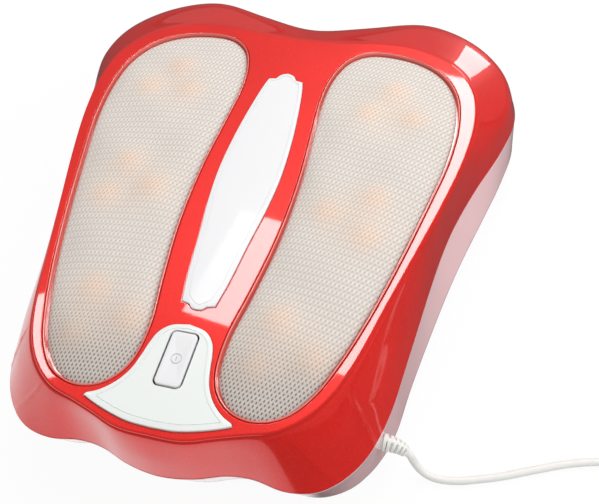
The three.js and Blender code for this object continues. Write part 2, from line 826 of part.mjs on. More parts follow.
// Plate that carries the six axles and the idler pins above the motor
function chassis() {
  const left = chassisShares.slice(1, -1).reverse().map(([u, v]) => [-u, v]);
  const outline = spline([...chassisShares, ...left], bodyWidth / 2, bodyDepth / 2, 0, 0, 2, true);
  const holes = columnPlaces.map(([x, y]) => roundHole(boreRadius, x, y));
  holes.push(roundHole(shaftRadius + clearance, 0, trainY));
  let plate = solid(prism(outline, chassisBottom, chassisTop, holes));
  const shoulderTop = gearBottom - clearance;
  const root = chassisBottom + chassisThickness / 2;
  const stand = (x, y, pinRadius) => {
    const stub = turned([
      [0, root], [pinRadius + axleShoulder, root], [pinRadius + axleShoulder, shoulderTop],
      [pinRadius, shoulderTop], [pinRadius, gearTop], [0, gearTop],
    ], slimSides);
    plate = plate.add(solid(stub.translate(x, y, 0)));
  };
  for (const side of [1, -1]) {
    Object.values(headPlaces).forEach((p) => stand(side * p.x, p.y, axleRadius));
    Object.values(idlerPlaces).forEach((p) => stand(side * p.x, p.y, idlerPinRadius));
    stand(side * transferX, trainY, idlerPinRadius);
  }
  return plate;
}

// Gear on the gearbox shaft, in the middle of the train
function driveGear() {
  const shaftBottom = gearboxTop - gearboxBore + clearance - gearBottom;
  return geometryOf(join(
    prism(gearOutline(pinionTeeth), 0, gearThickness),
    cylinder(shaftRadius, shaftBottom, gearThickness / 2, slimSides),
  ));
}

function gearbox() {
  const low = trayFloor + clearance;
  const outline = roundedRectangle(gearboxWidth, gearboxLength, gearboxCorner, 0, trainY);
  const seat = gearboxTop - gearboxBore;
  const bore = cylinder(shaftRadius + clearance, seat, gearboxTop + overrun, slimSides, 0, trainY);
  return solid(prism(outline, low, gearboxTop)).subtract(solid(bore));
}

// Motor can that lies along Y behind the gearbox, with its bearing boss and terminals
function motor() {
  const start = trainY + gearboxLength / 2 + clearance;
  const bevel = motorBossLength / 2;
  const profile = [
    [0, 0], [motorBossRadius, 0], [motorBossRadius, motorBossLength],
    [motorRadius - bevel, motorBossLength], [motorRadius, motorBossLength + bevel],
    [motorRadius, motorLength - bevel], [motorRadius - bevel, motorLength],
    [motorBossRadius, motorLength], [motorBossRadius, motorLength + motorBossLength],
    [0, motorLength + motorBossLength],
  ];
  return turned(profile, wideSides).rotateX(-Math.PI / 2).translate(0, start, motorHeight);
}

// Sheet-metal strap that holds the motor down on one cradle rib
function motorStrap() {
  const inner = motorRadius + clearance;
  const outer = inner + strapThickness;
  const earOuter = inner + strapEar;
  const earTop = clearance + strapThickness;
  const arch = (radius, height) => {
    const start = Math.asin(height / radius);
    const steps = slimSides;
    return Array.from({ length: steps + 1 }, (_, i) => {
      const angle = start + (Math.PI - 2 * start) * i / steps;
      return new THREE.Vector2(radius * Math.cos(angle), radius * Math.sin(angle));
    });
  };
  const shape = new THREE.Shape([
    new THREE.Vector2(earOuter, clearance),
    new THREE.Vector2(earOuter, earTop),
    ...arch(outer, earTop),
    new THREE.Vector2(-earOuter, earTop),
    new THREE.Vector2(-earOuter, clearance),
    ...arch(inner, clearance).reverse(),
  ]);
  const geometry = new THREE.ExtrudeGeometry(shape, { depth: strapWidth, bevelEnabled: false });
  const [, y] = cradlePlaces();
  return geometry.rotateX(Math.PI / 2).translate(0, y + strapWidth / 2, motorHeight);
}

// Circuit board with its capacitor, relay and terminal block
function circuitBoard() {
  const low = trayFloor + boardStandoff + clearance;
  const top = low + boardThickness;
  const outline = roundedRectangle(boardWidth, boardLength, boardThickness, 0, boardY, 1);
  const holes = boardPillars().map(([x, y]) => circle(screwRadius, screwSides, x, y));
  const root = low + boardThickness / 2;
  const tall = top + boardLength / 2;
  const relayX = -boardWidth / 5;
  const terminalY = boardY + boardLength / 3;
  return geometryOf(join(
    prism(outline, low, top, holes),
    cylinder(boardLength / 6, root, tall, slimSides, boardWidth / 5, boardY),
    block(boardWidth / 4, boardLength / 2, root, tall, relayX, boardY),
    block(boardWidth / 3, boardLength / 5, root, top + boardLength / 3, 0, terminalY),
  ));
}

// Push button: a hollow cap with a slightly crowned top
function powerButton() {
  const top = buttonTop;
  const low = top - buttonHeight;
  const body = roundedRectangle(buttonWidth, buttonLength, buttonCorner, 0, buttonY);
  return solid(loft([
    { outline: offset(body, -buttonSkirt), height: top - 2 * buttonSkirt },
    { outline: offset(body, -buttonSkirt), height: low },
    { outline: body, height: low },
    { outline: body, height: top },
    { outline: offset(body, -buttonCrown), height: top + buttonCrown },
  ]));
}

// Open box under the panel that guides the button
function switchHousing() {
  const high = ceiling - clearance;
  const low = high - switchDepth;
  const body = roundedRectangle(buttonWidth, buttonLength, buttonCorner, 0, buttonY);
  const inside = offset(body, buttonGap);
  const outside = offset(body, buttonGap + switchWall);
  const stop = buttonTop - 2 * buttonSkirt - buttonTravel - clearance;
  const box = loft([
    { outline: outside, height: low },
    { outline: outside, height: high },
    { outline: inside, height: high },
    { outline: inside, height: low + switchWall },
  ]);
  const plunger = cylinder(buttonWidth / 5, low + switchWall / 2, stop, slimSides, 0, buttonY);
  return join(box, plunger);
}

// Screw with its head at the bottom
function screw() {
  return turned([
    [0, 0], [screwHeadRadius, 0], [screwHeadRadius, screwHeadHeight],
    [screwRadius, screwHeadHeight], [screwRadius, screwLength], [0, screwLength],
  ], screwSides);
}

// Moulded strain relief: inner flange, neck through the boss, and a ribbed boot that droops
function strainRelief() {
  const flangeFace = entryFaceX - entryBossLength - clearance;
  const neckEnd = entryFaceX + clearance;
  const stations = [
    [flangeFace - reliefFlangeLength, reliefFlangeRadius], [flangeFace, reliefFlangeRadius],
    [flangeFace, entryNeckRadius], [neckEnd, entryNeckRadius], [neckEnd, reliefRootRadius],
  ];
  const points = stations.map(([x]) => new THREE.Vector3(x, entryY, entryHeight));
  const radii = stations.map(([, radius]) => radius);
  for (let i = 1; i <= bootSteps; i += 1) {
    const share = i / bootSteps;
    const grooved = i % ribSteps === 2 || i % ribSteps === 3;
    points.push(bootPoint(share));
    radii.push(THREE.MathUtils.lerp(reliefRootRadius, reliefTipRadius, share) - (grooved ? ribDepth : 0));
  }
  return ringedTube(points, radii, reliefSides);
}

// Middle line of the boot: level at its root and falling towards the floor at its tip
function bootPoint(share) {
  return new THREE.Vector3(
    entryFaceX + clearance + bootRun * share + cordDiameter * share * (1 - share),
    entryY,
    entryHeight - bootDrop * share ** 2,
  );
}

const leadEnd = new THREE.Vector3(...leadRoute.at(-1));
const coilX = leadEnd.x + clearance + cordDiameter;
const coilY = leadEnd.y + coilRadius;

// Two layers: the lower winds inward, climbs in half a turn and the upper winds outward
function coilPath() {
  const layerTurns = (coilTurns - climbTurns) / 2;
  const coilPitch = cordDiameter + turnGap;
  const layerPitch = cordDiameter + layerGap;
  const points = [new THREE.Vector3(leadEnd.x + clearance, leadEnd.y, cordRadius)];
  const count = Math.round(coilTurns * coilSteps);
  for (let i = 0; i <= count; i += 1) {
    const turns = i / coilSteps;
    const climbed = THREE.MathUtils.clamp((turns - layerTurns) / climbTurns, 0, 1);
    const wound = Math.min(turns, layerTurns) - Math.max(turns - layerTurns - climbTurns, 0);
    const radius = coilRadius - coilPitch * wound;
    const angle = 2 * Math.PI * turns - Math.PI / 2;
    points.push(new THREE.Vector3(
      coilX + radius * Math.cos(angle),
      coilY + radius * Math.sin(angle),
      cordRadius + layerPitch * climbed,
    ));
  }
  const last = points.at(-1);
  points.push(new THREE.Vector3(last.x, last.y + cordDiameter, last.z));
  return points;
}

// Least gap of the wound tube to itself, measured on its points away from each spot's own run
function leastGap(points) {
  const reach = Math.round(coilSteps / 3);
  let least = Infinity;
  for (let i = 0; i < points.length; i += 1) {
    for (let j = i + reach; j < points.length - 1; j += 1) {
      const line = new THREE.Line3(points[j], points[j + 1]);
      const near = line.closestPointToPoint(points[i], true, new THREE.Vector3());
      least = Math.min(least, near.distanceTo(points[i]) - cordDiameter);
    }
  }
  return least;
}

function leadTube(points, steps) {
  const curve = new THREE.CatmullRomCurve3(points, false, 'centripetal');
  const section = new THREE.Shape(circle(cordRadius, cordSides));
  return new THREE.ExtrudeGeometry(section, { steps, bevelEnabled: false, extrudePath: curve });
}

// Two-pin plug at the end of the lead, lying on the floor with its pins at the back
const coilEnd = coilPath().at(-1);
const plugX = coilEnd.x;
const plugY = coilEnd.y + clearance + tailLength + clearance;
const plugMiddle = plugThickness / 2;

function plugBody() {
  const right = plugShares.map(([u, v]) => new THREE.Vector2(u * plugWidth / 2, v * plugLength));
  const left = [...right].reverse().map((p) => new THREE.Vector2(-p.x, p.y));
  const outline = [...right, ...left];
  const body = solid(loft([
    { outline: offset(outline, -plugRound), height: 0 },
    { outline, height: plugRound },
    { outline, height: plugThickness - plugRound },
    { outline: offset(outline, -plugRound), height: plugThickness },
  ]));
  return [pinPitch / 2, -pinPitch / 2].reduce((cut, x) => {
    const seat = plugLength - pinSeat;
    const hole = cylinder(pinRadius + clearance, seat, plugLength + overrun, slimSides);
    return cut.subtract(solid(hole.rotateX(-Math.PI / 2).translate(x, 0, plugMiddle)));
  }, body);
}

function plugPin() {
  const tip = pinRadius / 2;
  const low = plugLength - pinSeat + clearance;
  const profile = [
    [0, low], [pinRadius, low], [pinRadius, plugLength + pinLength - tip],
    [pinRadius - tip, plugLength + pinLength], [0, plugLength + pinLength],
  ];
  return turned(profile, slimSides).rotateX(-Math.PI / 2);
}

// Housing
place('bottom_shell', geometryOf(bottomShell()), 'shell');
place('top_shell', geometryOf(topShell()), 'shell');
const rightBezel = bezel(windowOutline);
const rightCloth = clothDome(windowOutline);
place('window_bezel_right', rightBezel, 'trim');
place('window_bezel_left', mirrored(rightBezel), 'trim');
place('mesh_cover_right', rightCloth, 'cloth');
place('mesh_cover_left', mirrored(rightCloth), 'cloth');
const plateSeat = panelSeat + clearance;
const plate = prism(plateOutline, 0, plateThickness);
const panel = prism(panelOutline, 0, panelThickness, [buttonHole]);
place('name_plate', plate, 'white', 0, 0, plateSeat);
place('control_panel', panel, 'silver', 0, 0, plateSeat);
place('power_button', geometryOf(powerButton()), 'white');
place('switch_housing', geometryOf(switchHousing()), 'chassis');

// Drive
place('chassis_plate', geometryOf(chassis()), 'chassis');
place('gearbox', geometryOf(gearbox()), 'chassis');
place('motor', motor(), 'steel');
place('motor_strap', motorStrap(), 'steel');
place('drive_gear', driveGear(), 'nylon', 0, trainY, gearBottom);
place('circuit_board', circuitBoard(), 'board');

// Rest angle of the knobs on each head, in degrees
const knobAngles = {
  right_back: 90, right_mid: 180, right_front: -10, left_back: 90, left_mid: 112, left_front: 0,
};
const driveCentre = new THREE.Vector2(0, trainY);
const wheel = gear(wheelTeeth, axleRadius + clearance);
const idler = gear(idlerTeeth, idlerPinRadius + clearance);
const transfer = gear(pinionTeeth, idlerPinRadius + clearance);
const cap = headCap();
for (const [side, sign] of [['right', 1], ['left', -1]]) {
  const at = (p) => new THREE.Vector2(sign * p.x, p.y);
  const transferPlace = new THREE.Vector2(sign * transferX, trainY);
  const transferTurn = meshedTurn(transferPlace, pinionTeeth, driveCentre, pinionTeeth, 0);
  const { x: transferSpot } = transferPlace;
  place(`transfer_gear_${side}`, transfer, 'nylon', transferSpot, trainY, gearBottom, transferTurn);
  const midTurn = meshedTurn(at(headPlaces.mid), wheelTeeth, transferPlace, pinionTeeth, transferTurn);
  const turns = { mid: midTurn };
  for (const end of ['back', 'front']) {
    const idlerPlace = at(idlerPlaces[end]);
    const idlerTurn = meshedTurn(idlerPlace, idlerTeeth, at(headPlaces.mid), wheelTeeth, midTurn);
    const { x, y } = idlerPlace;
    place(`idler_gear_${side}_${end}`, idler, 'nylon', x, y, gearBottom, idlerTurn);
    turns[end] = meshedTurn(at(headPlaces[end]), wheelTeeth, idlerPlace, idlerTeeth, idlerTurn);
  }
  for (const [end, turn] of Object.entries(turns)) {
    const { x, y } = at(headPlaces[end]);
    const knobTurn = THREE.MathUtils.degToRad(knobAngles[`${side}_${end}`]);
    place(`head_wheel_${side}_${end}`, wheel, 'nylon', x, y, gearBottom, turn);
    place(`head_knobs_${side}_${end}`, cap, 'amber', x, y, capBottom, knobTurn);
    place(`lamp_${side}_${end}`, lamp(), 'lamp', x, y, capBottom);
  }
}

// Screws and feet
const sides = ['right_front', 'right_back', 'left_front', 'left_back'];
const uprightScrew = screw();
const hangingScrew = screw().rotateX(Math.PI);
const foot = cylinder(padRadius, 0, footHeight + padRecess - clearance, midSides);
sides.forEach((side, i) => {
  place(`chassis_screw_${side}`, hangingScrew, 'steel', ...columnPlaces[i], chassisTop + screwHeadHeight);
  place(`case_screw_${side}`, uprightScrew, 'steel', ...postPlaces[i], trayFloor - clearance);
  place(`rubber_foot_${side}`, foot, 'rubber', ...padPlaces[i]);
});

// Lead
place('strain_relief', strainRelief(), 'lead');
const bootTip = bootPoint(1);
const bootHeading = bootTip.clone().sub(bootPoint(1 - 1 / bootSteps)).normalize();
const leadStart = bootTip.clone().addScaledVector(bootHeading, clearance);
const leadPoints = [
  leadStart,
  leadStart.clone().addScaledVector(bootHeading, cordDiameter / 2),
  ...leadRoute.map((p) => new THREE.Vector3(...p)),
];
place('lead_free', leadTube(leadPoints, leadSteps), 'lead');
const wound = coilPath();
console.log(`least gap of the coil to itself ${leastGap(wound).toFixed(2)} mm`);
place('lead_coil', ringedTube(wound, wound.map(() => cordRadius), coilSides), 'lead');
const tailStart = new THREE.Vector3(coilEnd.x, coilEnd.y + clearance, coilEnd.z);
const [, rampStart, , rampEnd] = tailShares;
const tailPoints = tailShares.map((share) => new THREE.Vector3(
  plugX,
  tailStart.y + tailLength * share,
  THREE.MathUtils.lerp(tailStart.z, plugMiddle, THREE.MathUtils.smoothstep(share, rampStart, rampEnd)),
));
place('lead_tail', leadTube(tailPoints, tailSteps), 'lead');
place('plug_body', geometryOf(plugBody()), 'lead', plugX, plugY);
place('plug_pin_right', plugPin(), 'steel', plugX + pinPitch / 2, plugY, plugMiddle);
place('plug_pin_left', plugPin(), 'steel', plugX - pinPitch / 2, plugY, plugMiddle);

export default massager;
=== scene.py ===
"""Kneading foot massager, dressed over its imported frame.

Sizes are in millimetres in the model's own frame (+Z up, control panel at -Y) and become metres
when a mesh is made. Every new surface is worked out as whole numpy arrays.
"""

import json
import math

import bmesh
import bpy
import numpy as np
from bpy.props import FloatProperty, FloatVectorProperty, PointerProperty
from mathutils import Matrix, Vector
from mathutils.geometry import tessellate_polygon


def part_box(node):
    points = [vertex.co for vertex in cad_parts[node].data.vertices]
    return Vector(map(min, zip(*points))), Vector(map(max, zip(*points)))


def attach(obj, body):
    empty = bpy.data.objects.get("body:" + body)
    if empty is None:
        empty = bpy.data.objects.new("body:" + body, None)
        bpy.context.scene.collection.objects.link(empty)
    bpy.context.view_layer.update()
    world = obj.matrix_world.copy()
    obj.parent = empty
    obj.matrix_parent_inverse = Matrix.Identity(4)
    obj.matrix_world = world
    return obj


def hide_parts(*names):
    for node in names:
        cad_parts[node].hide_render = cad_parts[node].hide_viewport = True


bl_info = {
    "name": "Foot massager",
    "version": (1, 0, 0),
    "blender": (4, 5, 0),
    "location": "View3D > Sidebar > Massager",
    "description": "Builds a kneading foot massager with cloth windows, turning heads and a lead",
    "category": "Object",
}

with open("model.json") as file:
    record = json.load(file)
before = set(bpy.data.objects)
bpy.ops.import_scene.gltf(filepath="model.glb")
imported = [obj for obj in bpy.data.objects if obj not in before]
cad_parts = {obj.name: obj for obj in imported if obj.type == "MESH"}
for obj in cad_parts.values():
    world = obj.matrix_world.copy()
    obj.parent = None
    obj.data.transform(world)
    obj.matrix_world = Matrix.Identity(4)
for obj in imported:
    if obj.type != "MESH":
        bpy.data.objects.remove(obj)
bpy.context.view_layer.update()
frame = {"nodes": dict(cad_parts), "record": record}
MM = 0.001


def node_box(node):
    """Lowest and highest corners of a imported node, in millimetres."""
    low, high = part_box(node)
    return np.array(low) / MM, np.array(high) / MM


def node_middle(node):
    """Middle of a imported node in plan, in millimetres."""
    low, high = node_box(node)
    return (low + high)[:2] / 2


# Sizes of the housing
BODY_WIDTH = 336.0
BODY_DEPTH = 404.0
FOOT_HEIGHT = 4.0
PARTING_HEIGHT = 40.0
SHOULDER_HEIGHT = 62.0
DECK_HEIGHT = 80.0
WALL = 2.6
CLEARANCE = 0.3
SEAT_RECESS = 0.8
PANEL_SEAT = DECK_HEIGHT - SEAT_RECESS
CLOTH_SEAT = 76.9
CEILING = DECK_HEIGHT - WALL
TRAY_FLOOR = FOOT_HEIGHT + WALL

# Outlines of the body from front centre round the right side to back centre, as half-size shares
RIM_SHARES = [
    (0, -0.965), (0.107, -0.962), (0.196, -0.937), (0.274, -0.915), (0.369, -0.89),
    (0.455, -0.831), (0.519, -0.748), (0.57, -0.629), (0.623, -0.46),
    (0.75, -0.066), (0.808, 0.159), (0.828, 0.338), (0.798, 0.498), (0.696, 0.622),
    (0.536, 0.69), (0.375, 0.7), (0.19, 0.678), (0, 0.67),
]
SHOULDER_SHARES = [
    (0, -0.985), (0.113, -0.974), (0.208, -0.945), (0.292, -0.93), (0.393, -0.925),
    (0.488, -0.883), (0.571, -0.799), (0.628, -0.672), (0.673, -0.488),
    (0.77, -0.05), (0.845, 0.184), (0.915, 0.383), (0.955, 0.562), (0.91, 0.742),
    (0.75, 0.898), (0.53, 0.972), (0.268, 0.91), (0, 0.853),
]
EDGE_SHARES = [
    (0, -1), (0.119, -0.986), (0.214, -0.959), (0.304, -0.952), (0.411, -0.965),
    (0.524, -0.942), (0.628, -0.85), (0.687, -0.71), (0.72, -0.507),
    (0.792, -0.05), (0.875, 0.199), (0.964, 0.408), (1.012, 0.602), (0.952, 0.782),
    (0.78, 0.918), (0.542, 0.99), (0.274, 0.928), (0, 0.872),
]
BASE_SHARES = [
    (0, -0.972), (0.113, -0.962), (0.214, -0.933), (0.31, -0.922), (0.405, -0.937),
    (0.518, -0.93), (0.628, -0.868), (0.71, -0.725), (0.75, -0.507),
    (0.85, -0.07), (0.94, 0.217), (1.0, 0.415), (1.034, 0.61), (0.968, 0.797),
    (0.79, 0.93), (0.554, 1), (0.28, 0.94), (0, 0.882),
]

# Samples to each span of an outline, and how many of its harmonics stay
SAMPLES, HARMONICS = 20, 34
WINDOW_SAMPLES, WINDOW_HARMONICS = 16, 26
PLATE_SAMPLES = 8
WALL_SAMPLES, BASE_SAMPLES = 10, 8

# Wall over the seam: the height where its curve starts, how far its middle swells out, and the ring
# under the rim as a share of the way to the shoulder and a drop from the deck
WALL_START, WALL_SWELL = 1.2, 0.5
UNDER_RIM_SHARE, UNDER_RIM_DROP = 0.16, 3.4

# Fine raised lines on the front lobes' walls: share point at the bottom and at the top, and the end
# share of the wall's height. Then their height, their half width in samples and their fading shares
CREASES = [(5.4, 4.2, 0.9), (6.45, 6.3, 0.9)]
CREASE_HEIGHT, CREASE_HALF = 0.85, 1.4
CREASE_TOP_SHARE, CREASE_FOOT_SHARE = 0.12, 0.06

# Lower housing: the ring between the underside and the seam, and how far the underside's edge is
# drawn in at the front, from where and over what depth
BULGE_SHARE, BULGE_HEIGHT = 0.55, 26.0
FRONT_TUCK, TUCK_START, TUCK_RUN = 4.5, -130.0, 40.0

# Seam: half its gap, the lap of the upper wall over the lower one's tongue, and how far both have
# come up the slope to the shoulder there
SEAM_HALF = 0.15
LAP_WALL, LAP_HEIGHT = 1.2, 3.0
UPPER_LAP_SHARE, LOWER_LAP_SHARE = 0.15, 0.14

# Rings of the two edges at the seam, as a way out and a height: the upper one's with the shadow
# line over it, from the parting line, and the lower one's from the seam's own lower side
SEAM_DEPTH = 0.95
UPPER_EDGE_RINGS = [(-0.3, 0.15), (-0.05, 0.25), (0, 0.4), (-SEAM_DEPTH, 0.6), (-SEAM_DEPTH, 0.95)]
LOWER_EDGE_RINGS = [(-0.05, -0.1), (-0.3, 0)]
LOWER_EDGE_DROP = 0.4

# Shadow line under the rim: its drop from the deck, its depth and half its height
RIM_LINE_DROP, RIM_LINE_DEPTH, RIM_LINE_HALF = 1.85, 1.3, 0.75

# Flat margins beside the deck's edge and its holes, and the rounds there
DECK_MARGIN, HOLE_MARGIN = 0.4, 0.35
WINDOW_ROUND, SEAT_ROUND = 0.4, 0.25
CEILING_ROUND = 1.6

# Windows, long plate and control panel: sizes, places and outlines as half-size shares
WINDOW_SIZE = (105.0, 306.5)
WINDOW_PLACE = (75.0, -23.0)
WINDOW_SHARES = [
    (-0.133, 0.998), (-0.438, 0.979), (-0.667, 0.907), (-0.81, 0.77), (-0.857, 0.6),
    (-0.829, 0.378), (-0.79, 0.078), (-0.819, -0.248), (-0.914, -0.522), (-1, -0.731),
    (-0.952, -0.894), (-0.762, -0.976), (-0.495, -1), (-0.21, -0.966), (0.019, -0.874),
    (0.21, -0.724), (0.4, -0.522), (0.61, -0.241), (0.8, 0.052), (0.952, 0.313),
    (1, 0.548), (0.933, 0.737), (0.705, 0.881), (0.343, 0.966),
]
PLATE_SIZE = (42.0, 211.0)
PLATE_Y = -13.5
PLATE_FRONT_SHARES = [(0, -1), (0.14, -0.995), (0.25, -0.972)]
PLATE_SIDE_SHARES = [
    (0.47, -0.962), (0.6, -0.8), (0.75, -0.517), (0.92, -0.232), (1, 0.024),
    (0.955, 0.336), (0.83, 0.62), (0.68, 0.85), (0.6, 0.925),
]
PLATE_BACK_SHARES = [(0.36, 0.935), (0.22, 0.98), (0, 1)]
PANEL_SIZE = (82.0, 61.5)
PANEL_Y = -160.25
PANEL_FRONT_SHARES = [(0, -1), (0.317, -0.977), (0.585, -0.896), (0.83, -0.789), (0.99, -0.7)]
PANEL_SIDE_SHARES = [
    (0.97, -0.655), (0.83, -0.561), (0.659, -0.35), (0.537, -0.073), (0.476, 0.236),
    (0.439, 0.496), (0.378, 0.74), (0.244, 0.919), (0, 1),
]

# Engraved line of the plate and the panel: the share of its distance that each point keeps to the
# outline, how often its corners are rounded, and the slant of its sides
LINE_KEEP_SHARE, LINE_ROUNDS, LINE_SLANT = 0.985, 8, 0.1

# Switch: its outline, its gap to the panel and the extra room of the holes for it, its own edge,
# skirt and thumb dish, and the ring and bar in the dish
BUTTON_SIZE = (15.6, 33.4)
BUTTON_Y = -151.5
BUTTON_CORNER = 3.2
BUTTON_GAP = 0.5
PANEL_HOLE_PLAY, DECK_HOLE_PLAY = 0.1, 0.45
SWITCH_SLIM, SWITCH_DROP, SWITCH_ROUND = 0.5, 0.15, 0.6
SWITCH_WALL, SWITCH_ROOF = 1.6, 3.0
DISH_INSET, DISH_DEPTH = 1.3, 0.45
MARK_RADII, MARK_BAR, BAR_CORNER = (2.6, 3.1), (0.5, 2.8), 0.2
MARK_FOOT, MARK_DROP, BAR_DROP = 0.8, 0.26, 0.08

# Bezel: how far it reaches out from the window's outline and in, its rise over the deck, its gap to
# the deck, the foot of its bead, and the ledge that carries the cloth
BEZEL_OUT, BEZEL_IN, BEZEL_RISE, BEZEL_GAP = 0.8, -0.15, 0.3, 0.5
BEAD_DROP = 0.4
LEDGE_TOP, LEDGE_BOTTOM, LEDGE_REACH = 76.6, 75.0, 2.4

# Cloth: inset from the window's outline, thickness, powers of the dome and of its edge's round, the
# slow waves' lengths across and along, the edge where they fade, and the rings from edge to middle
CLOTH_INSET, CLOTH_THICKNESS = 1.25, 0.5
DOME_POWER, EDGE_POWER, EDGE_RISE = 4, 60, 0.5
WAVE_RUNS = [(9, 31), (-40, 13)]
EDGE_FADE_SHARE = 1 / 6
CLOTH_RING_SHARES = np.concatenate([[1, 0.997, 0.992, 0.985], np.linspace(0.975, 0, 79)])

# Turn of the weave in each window, in degrees
WEAVE_TURNS = {"right": -2.0, "left": 3.5}

# Painted glow on the cloth, which stands in for the warm light through it: its share over a knob and over a
# lamp, and how far each reaches. Then the place where the mesh opens towards the front, with painted shade
# there, and over what depth
KNOB_LIGHT_SHARE, KNOB_LIGHT_REACH = 0.75, 9.0
LAMP_LIGHT_SHARE, LAMP_LIGHT_REACH = 0.45, 24.0
OPENING_Y, OPENING_RUN = -112.0, 52.0

# Places of the screws and feet, as half-size shares
POST_SHARES = [(0.57, -0.79), (0.72, 0.62)]
PAD_SHARES = [(0.42, -0.82), (0.62, 0.8)]

# Screw posts, the wells and bosses under them, and the seats of the feet
BOSS_RADIUS, BOSS_TOP = 7.0, 15.0
POST_BORE, POST_RADIUS, POST_TOP = 1.8, 4.6, 56.0
POST_BOTTOM = BOSS_TOP + CLEARANCE
WELL_RADIUS, WELL_TOP = 3.9, 8.8
SEAT_RADIUS, SEAT_DEPTH = 9.3, 0.9

# Vents
VENT_SIZE, VENT_CORNER = (44.0, 3.2), 1.5
VENT_PITCH = 9.0
VENT_COUNT = 6
VENT_Y = 84.0

# Rubber foot and screws: the foot's profile as radius and height, the screw head's flat and cross
# recess, and its shank
FOOT_PROFILE = [
    (0, 0.5), (3.0, 0.5), (3.4, 0), (5.6, 0), (6.0, 0.5), (6.4, 0.5), (6.8, 0), (8.2, 0),
    (9.0, 0.8), (9.0, 4.4), (0, 4.4),
]
HEAD_GROWTH_SHARE, HEAD_FLAT_SHARE, CROSS_REACH_SHARE = 1.05, 0.92, 0.62
CROSS_HALF, CROSS_SLOPE, CROSS_DEPTH = 0.75, 0.4, 1.1
HEAD_HEIGHT, HEAD_CROWN, HEAD_EDGE = 2.2, 0.35, 0.5
SHANK_RADIUS, SHANK_TIP, TIP_LENGTH = 1.5, 0.9, 0.5

# Gears: module and teeth, a tooth's flanks and depth as shares of the module, chamfers, rim, hub
# and web, and bores
TOOTH_MODULE = 3.0
WHEEL_TEETH, IDLER_TEETH, PINION_TEETH = 20, 14, 10
FLANK_STEEPNESS, TOOTH_SLIMNESS = 2.4, 0.55
TOOTH_SINK_SHARE, TOOTH_DEPTH_SHARE = 0.18, 1.05
RIM_DEPTH_SHARE = 2.2
TOOTH_CHAMFER, CHAMFER_RISE = 0.3, 0.4
HUB_WALL, WEB_RECESS, WEB_DRAFT = 2.2, 2.0, 0.3
HEAD_BORE, IDLER_BORE = 6.3, 4.3

# Heads: knobs and the height where their glow starts, the plate that carries them, the knob's foot
# and the lamp's base as radius and height, and the angle in degrees of each head's first knob
KNOB_RADIUS = 9.5
KNOB_ORBIT = 19.0
KNOB_HEIGHT = 25.0
KNOBS = 3
GLOW_START = 12.0
CAP_BOTTOM = DECK_HEIGHT - WALL - KNOB_HEIGHT
CAP_BORE, CAP_THICKNESS, CAP_CHAMFER, CAP_ROUND = 8.8, 3.0, 0.6, 0.8
KNOB_FOOT = [(0, 0.6), (KNOB_RADIUS - 0.4, 0.6), (KNOB_RADIUS - 0.4, 3.2), (KNOB_RADIUS - 0.2, 5)]
BULB_RADIUS = 5.0
LAMP_BASE = [(0, 0), (8.0, 0), (8.4, 0.4), (8.4, 1.1), (8.0, 1.5), (5.4, 1.5), (BULB_RADIUS, 1.9)]
SIDES = ("right", "left")
ENDS = ("mid", "back", "front")
KNOB_ANGLES = {
    "right_back": 90, "right_mid": 180, "right_front": -10,
    "left_back": 90, "left_mid": 112, "left_front": 0,
}

# Lead: diameter, boot with its slots, the edges of the slots and of the bridges between them as
# start and width, the collar as depth and radius, and the points of the route from boot to coil
CORD_DIAMETER = 4.5
ENTRY_SHARES, ENTRY_HEIGHT = (0.681, -0.7525), 30.5
ENTRY = (ENTRY_SHARES[0] * BODY_WIDTH / 2, ENTRY_SHARES[1] * BODY_DEPTH / 2, ENTRY_HEIGHT)
RELIEF_ROOT, RELIEF_TIP = 5.2, 3.5
BOOT_RUN, BOOT_DROP = 12.6, 5.6
BOOT_SLOTS, SLOT_DEPTH, BOOT_ROUND = 5.5, 1.35, 0.5
SLOTTED_SHARES, SLOT_SHARES, BRIDGE_SHARES = (0.1, 0.93), (0.55, 0.2), (0.22, 0.15)
COLLAR = [(14, 6.6), (11.6, 6.6), (11.6, 4.6), (0.1, 4.6)]
LEAD_ROUTE = [
    (131.2, -152.4, 20), (134.2, -153.2, 13.4), (138.4, -154.4, 7.6), (144, -155.4, 3.7),
    (151, -155.6, 2.4), (161, -154, 2.25), (172, -150.6, 2.25), (186, -145.4, 2.25),
    (204, -137.4, 2.25), (223, -129.4, 2.25), (240, -124.4, 2.25), (256, -121.8, 2.25),
    (270, -121, 2.25), (284, -121, 2.25),
]

# Coil of the lead in two layers, and its straight tail to the plug with the start and the run of its
# rise
COIL_RADIUS = 36.0
COIL_TURNS, CLIMB_TURNS = 6.25, 0.5
TURN_GAP, LAYER_GAP = 1.3, 0.6
COIL_PITCH, LAYER_PITCH = CORD_DIAMETER + TURN_GAP, CORD_DIAMETER + LAYER_GAP
TAIL_LENGTH = 46.0
TAIL_RISE_SHARES = (0.12, 0.76)

# Plug: size, right half of its outline as shares of half its width and of its length, rounding and
# finger grooves. Pins: radius, radius of the tip's last ring and step before the round end
PLUG_WIDTH, PLUG_LENGTH, PLUG_THICKNESS = 35.0, 36.0, 13.6
PLUG_SHARES = [(0.34, 0), (0.42, 0.2), (0.62, 0.42), (0.94, 0.6), (1, 0.72), (0.94, 1)]
PLUG_ROUND = 3.2
GRIP_DEPTH, GRIP_PITCH, GRIP_SPAN = 0.45, 3.4, (4, 17)
PIN_RADIUS, PIN_TIP, PIN_STEP = 2.1, 0.05, 0.01

# Camera, from the photograph's perspective
PHOTO_SIZE = (599, 504)
FOCAL_PIXELS = 700.0
SENSOR_WIDTH = 36.0
CAMERA_PLACE = (121.08, -309.96, 411.56)
CAMERA_RIGHT = (0.97046, 0.23763, -0.04161)
CAMERA_DOWN = (0.1644, -0.77766, -0.60681)
CAMERA_FORWARD = (-0.17656, 0.58204, -0.79376)
CLIP_RANGE = (0.01, 60)


# Curves

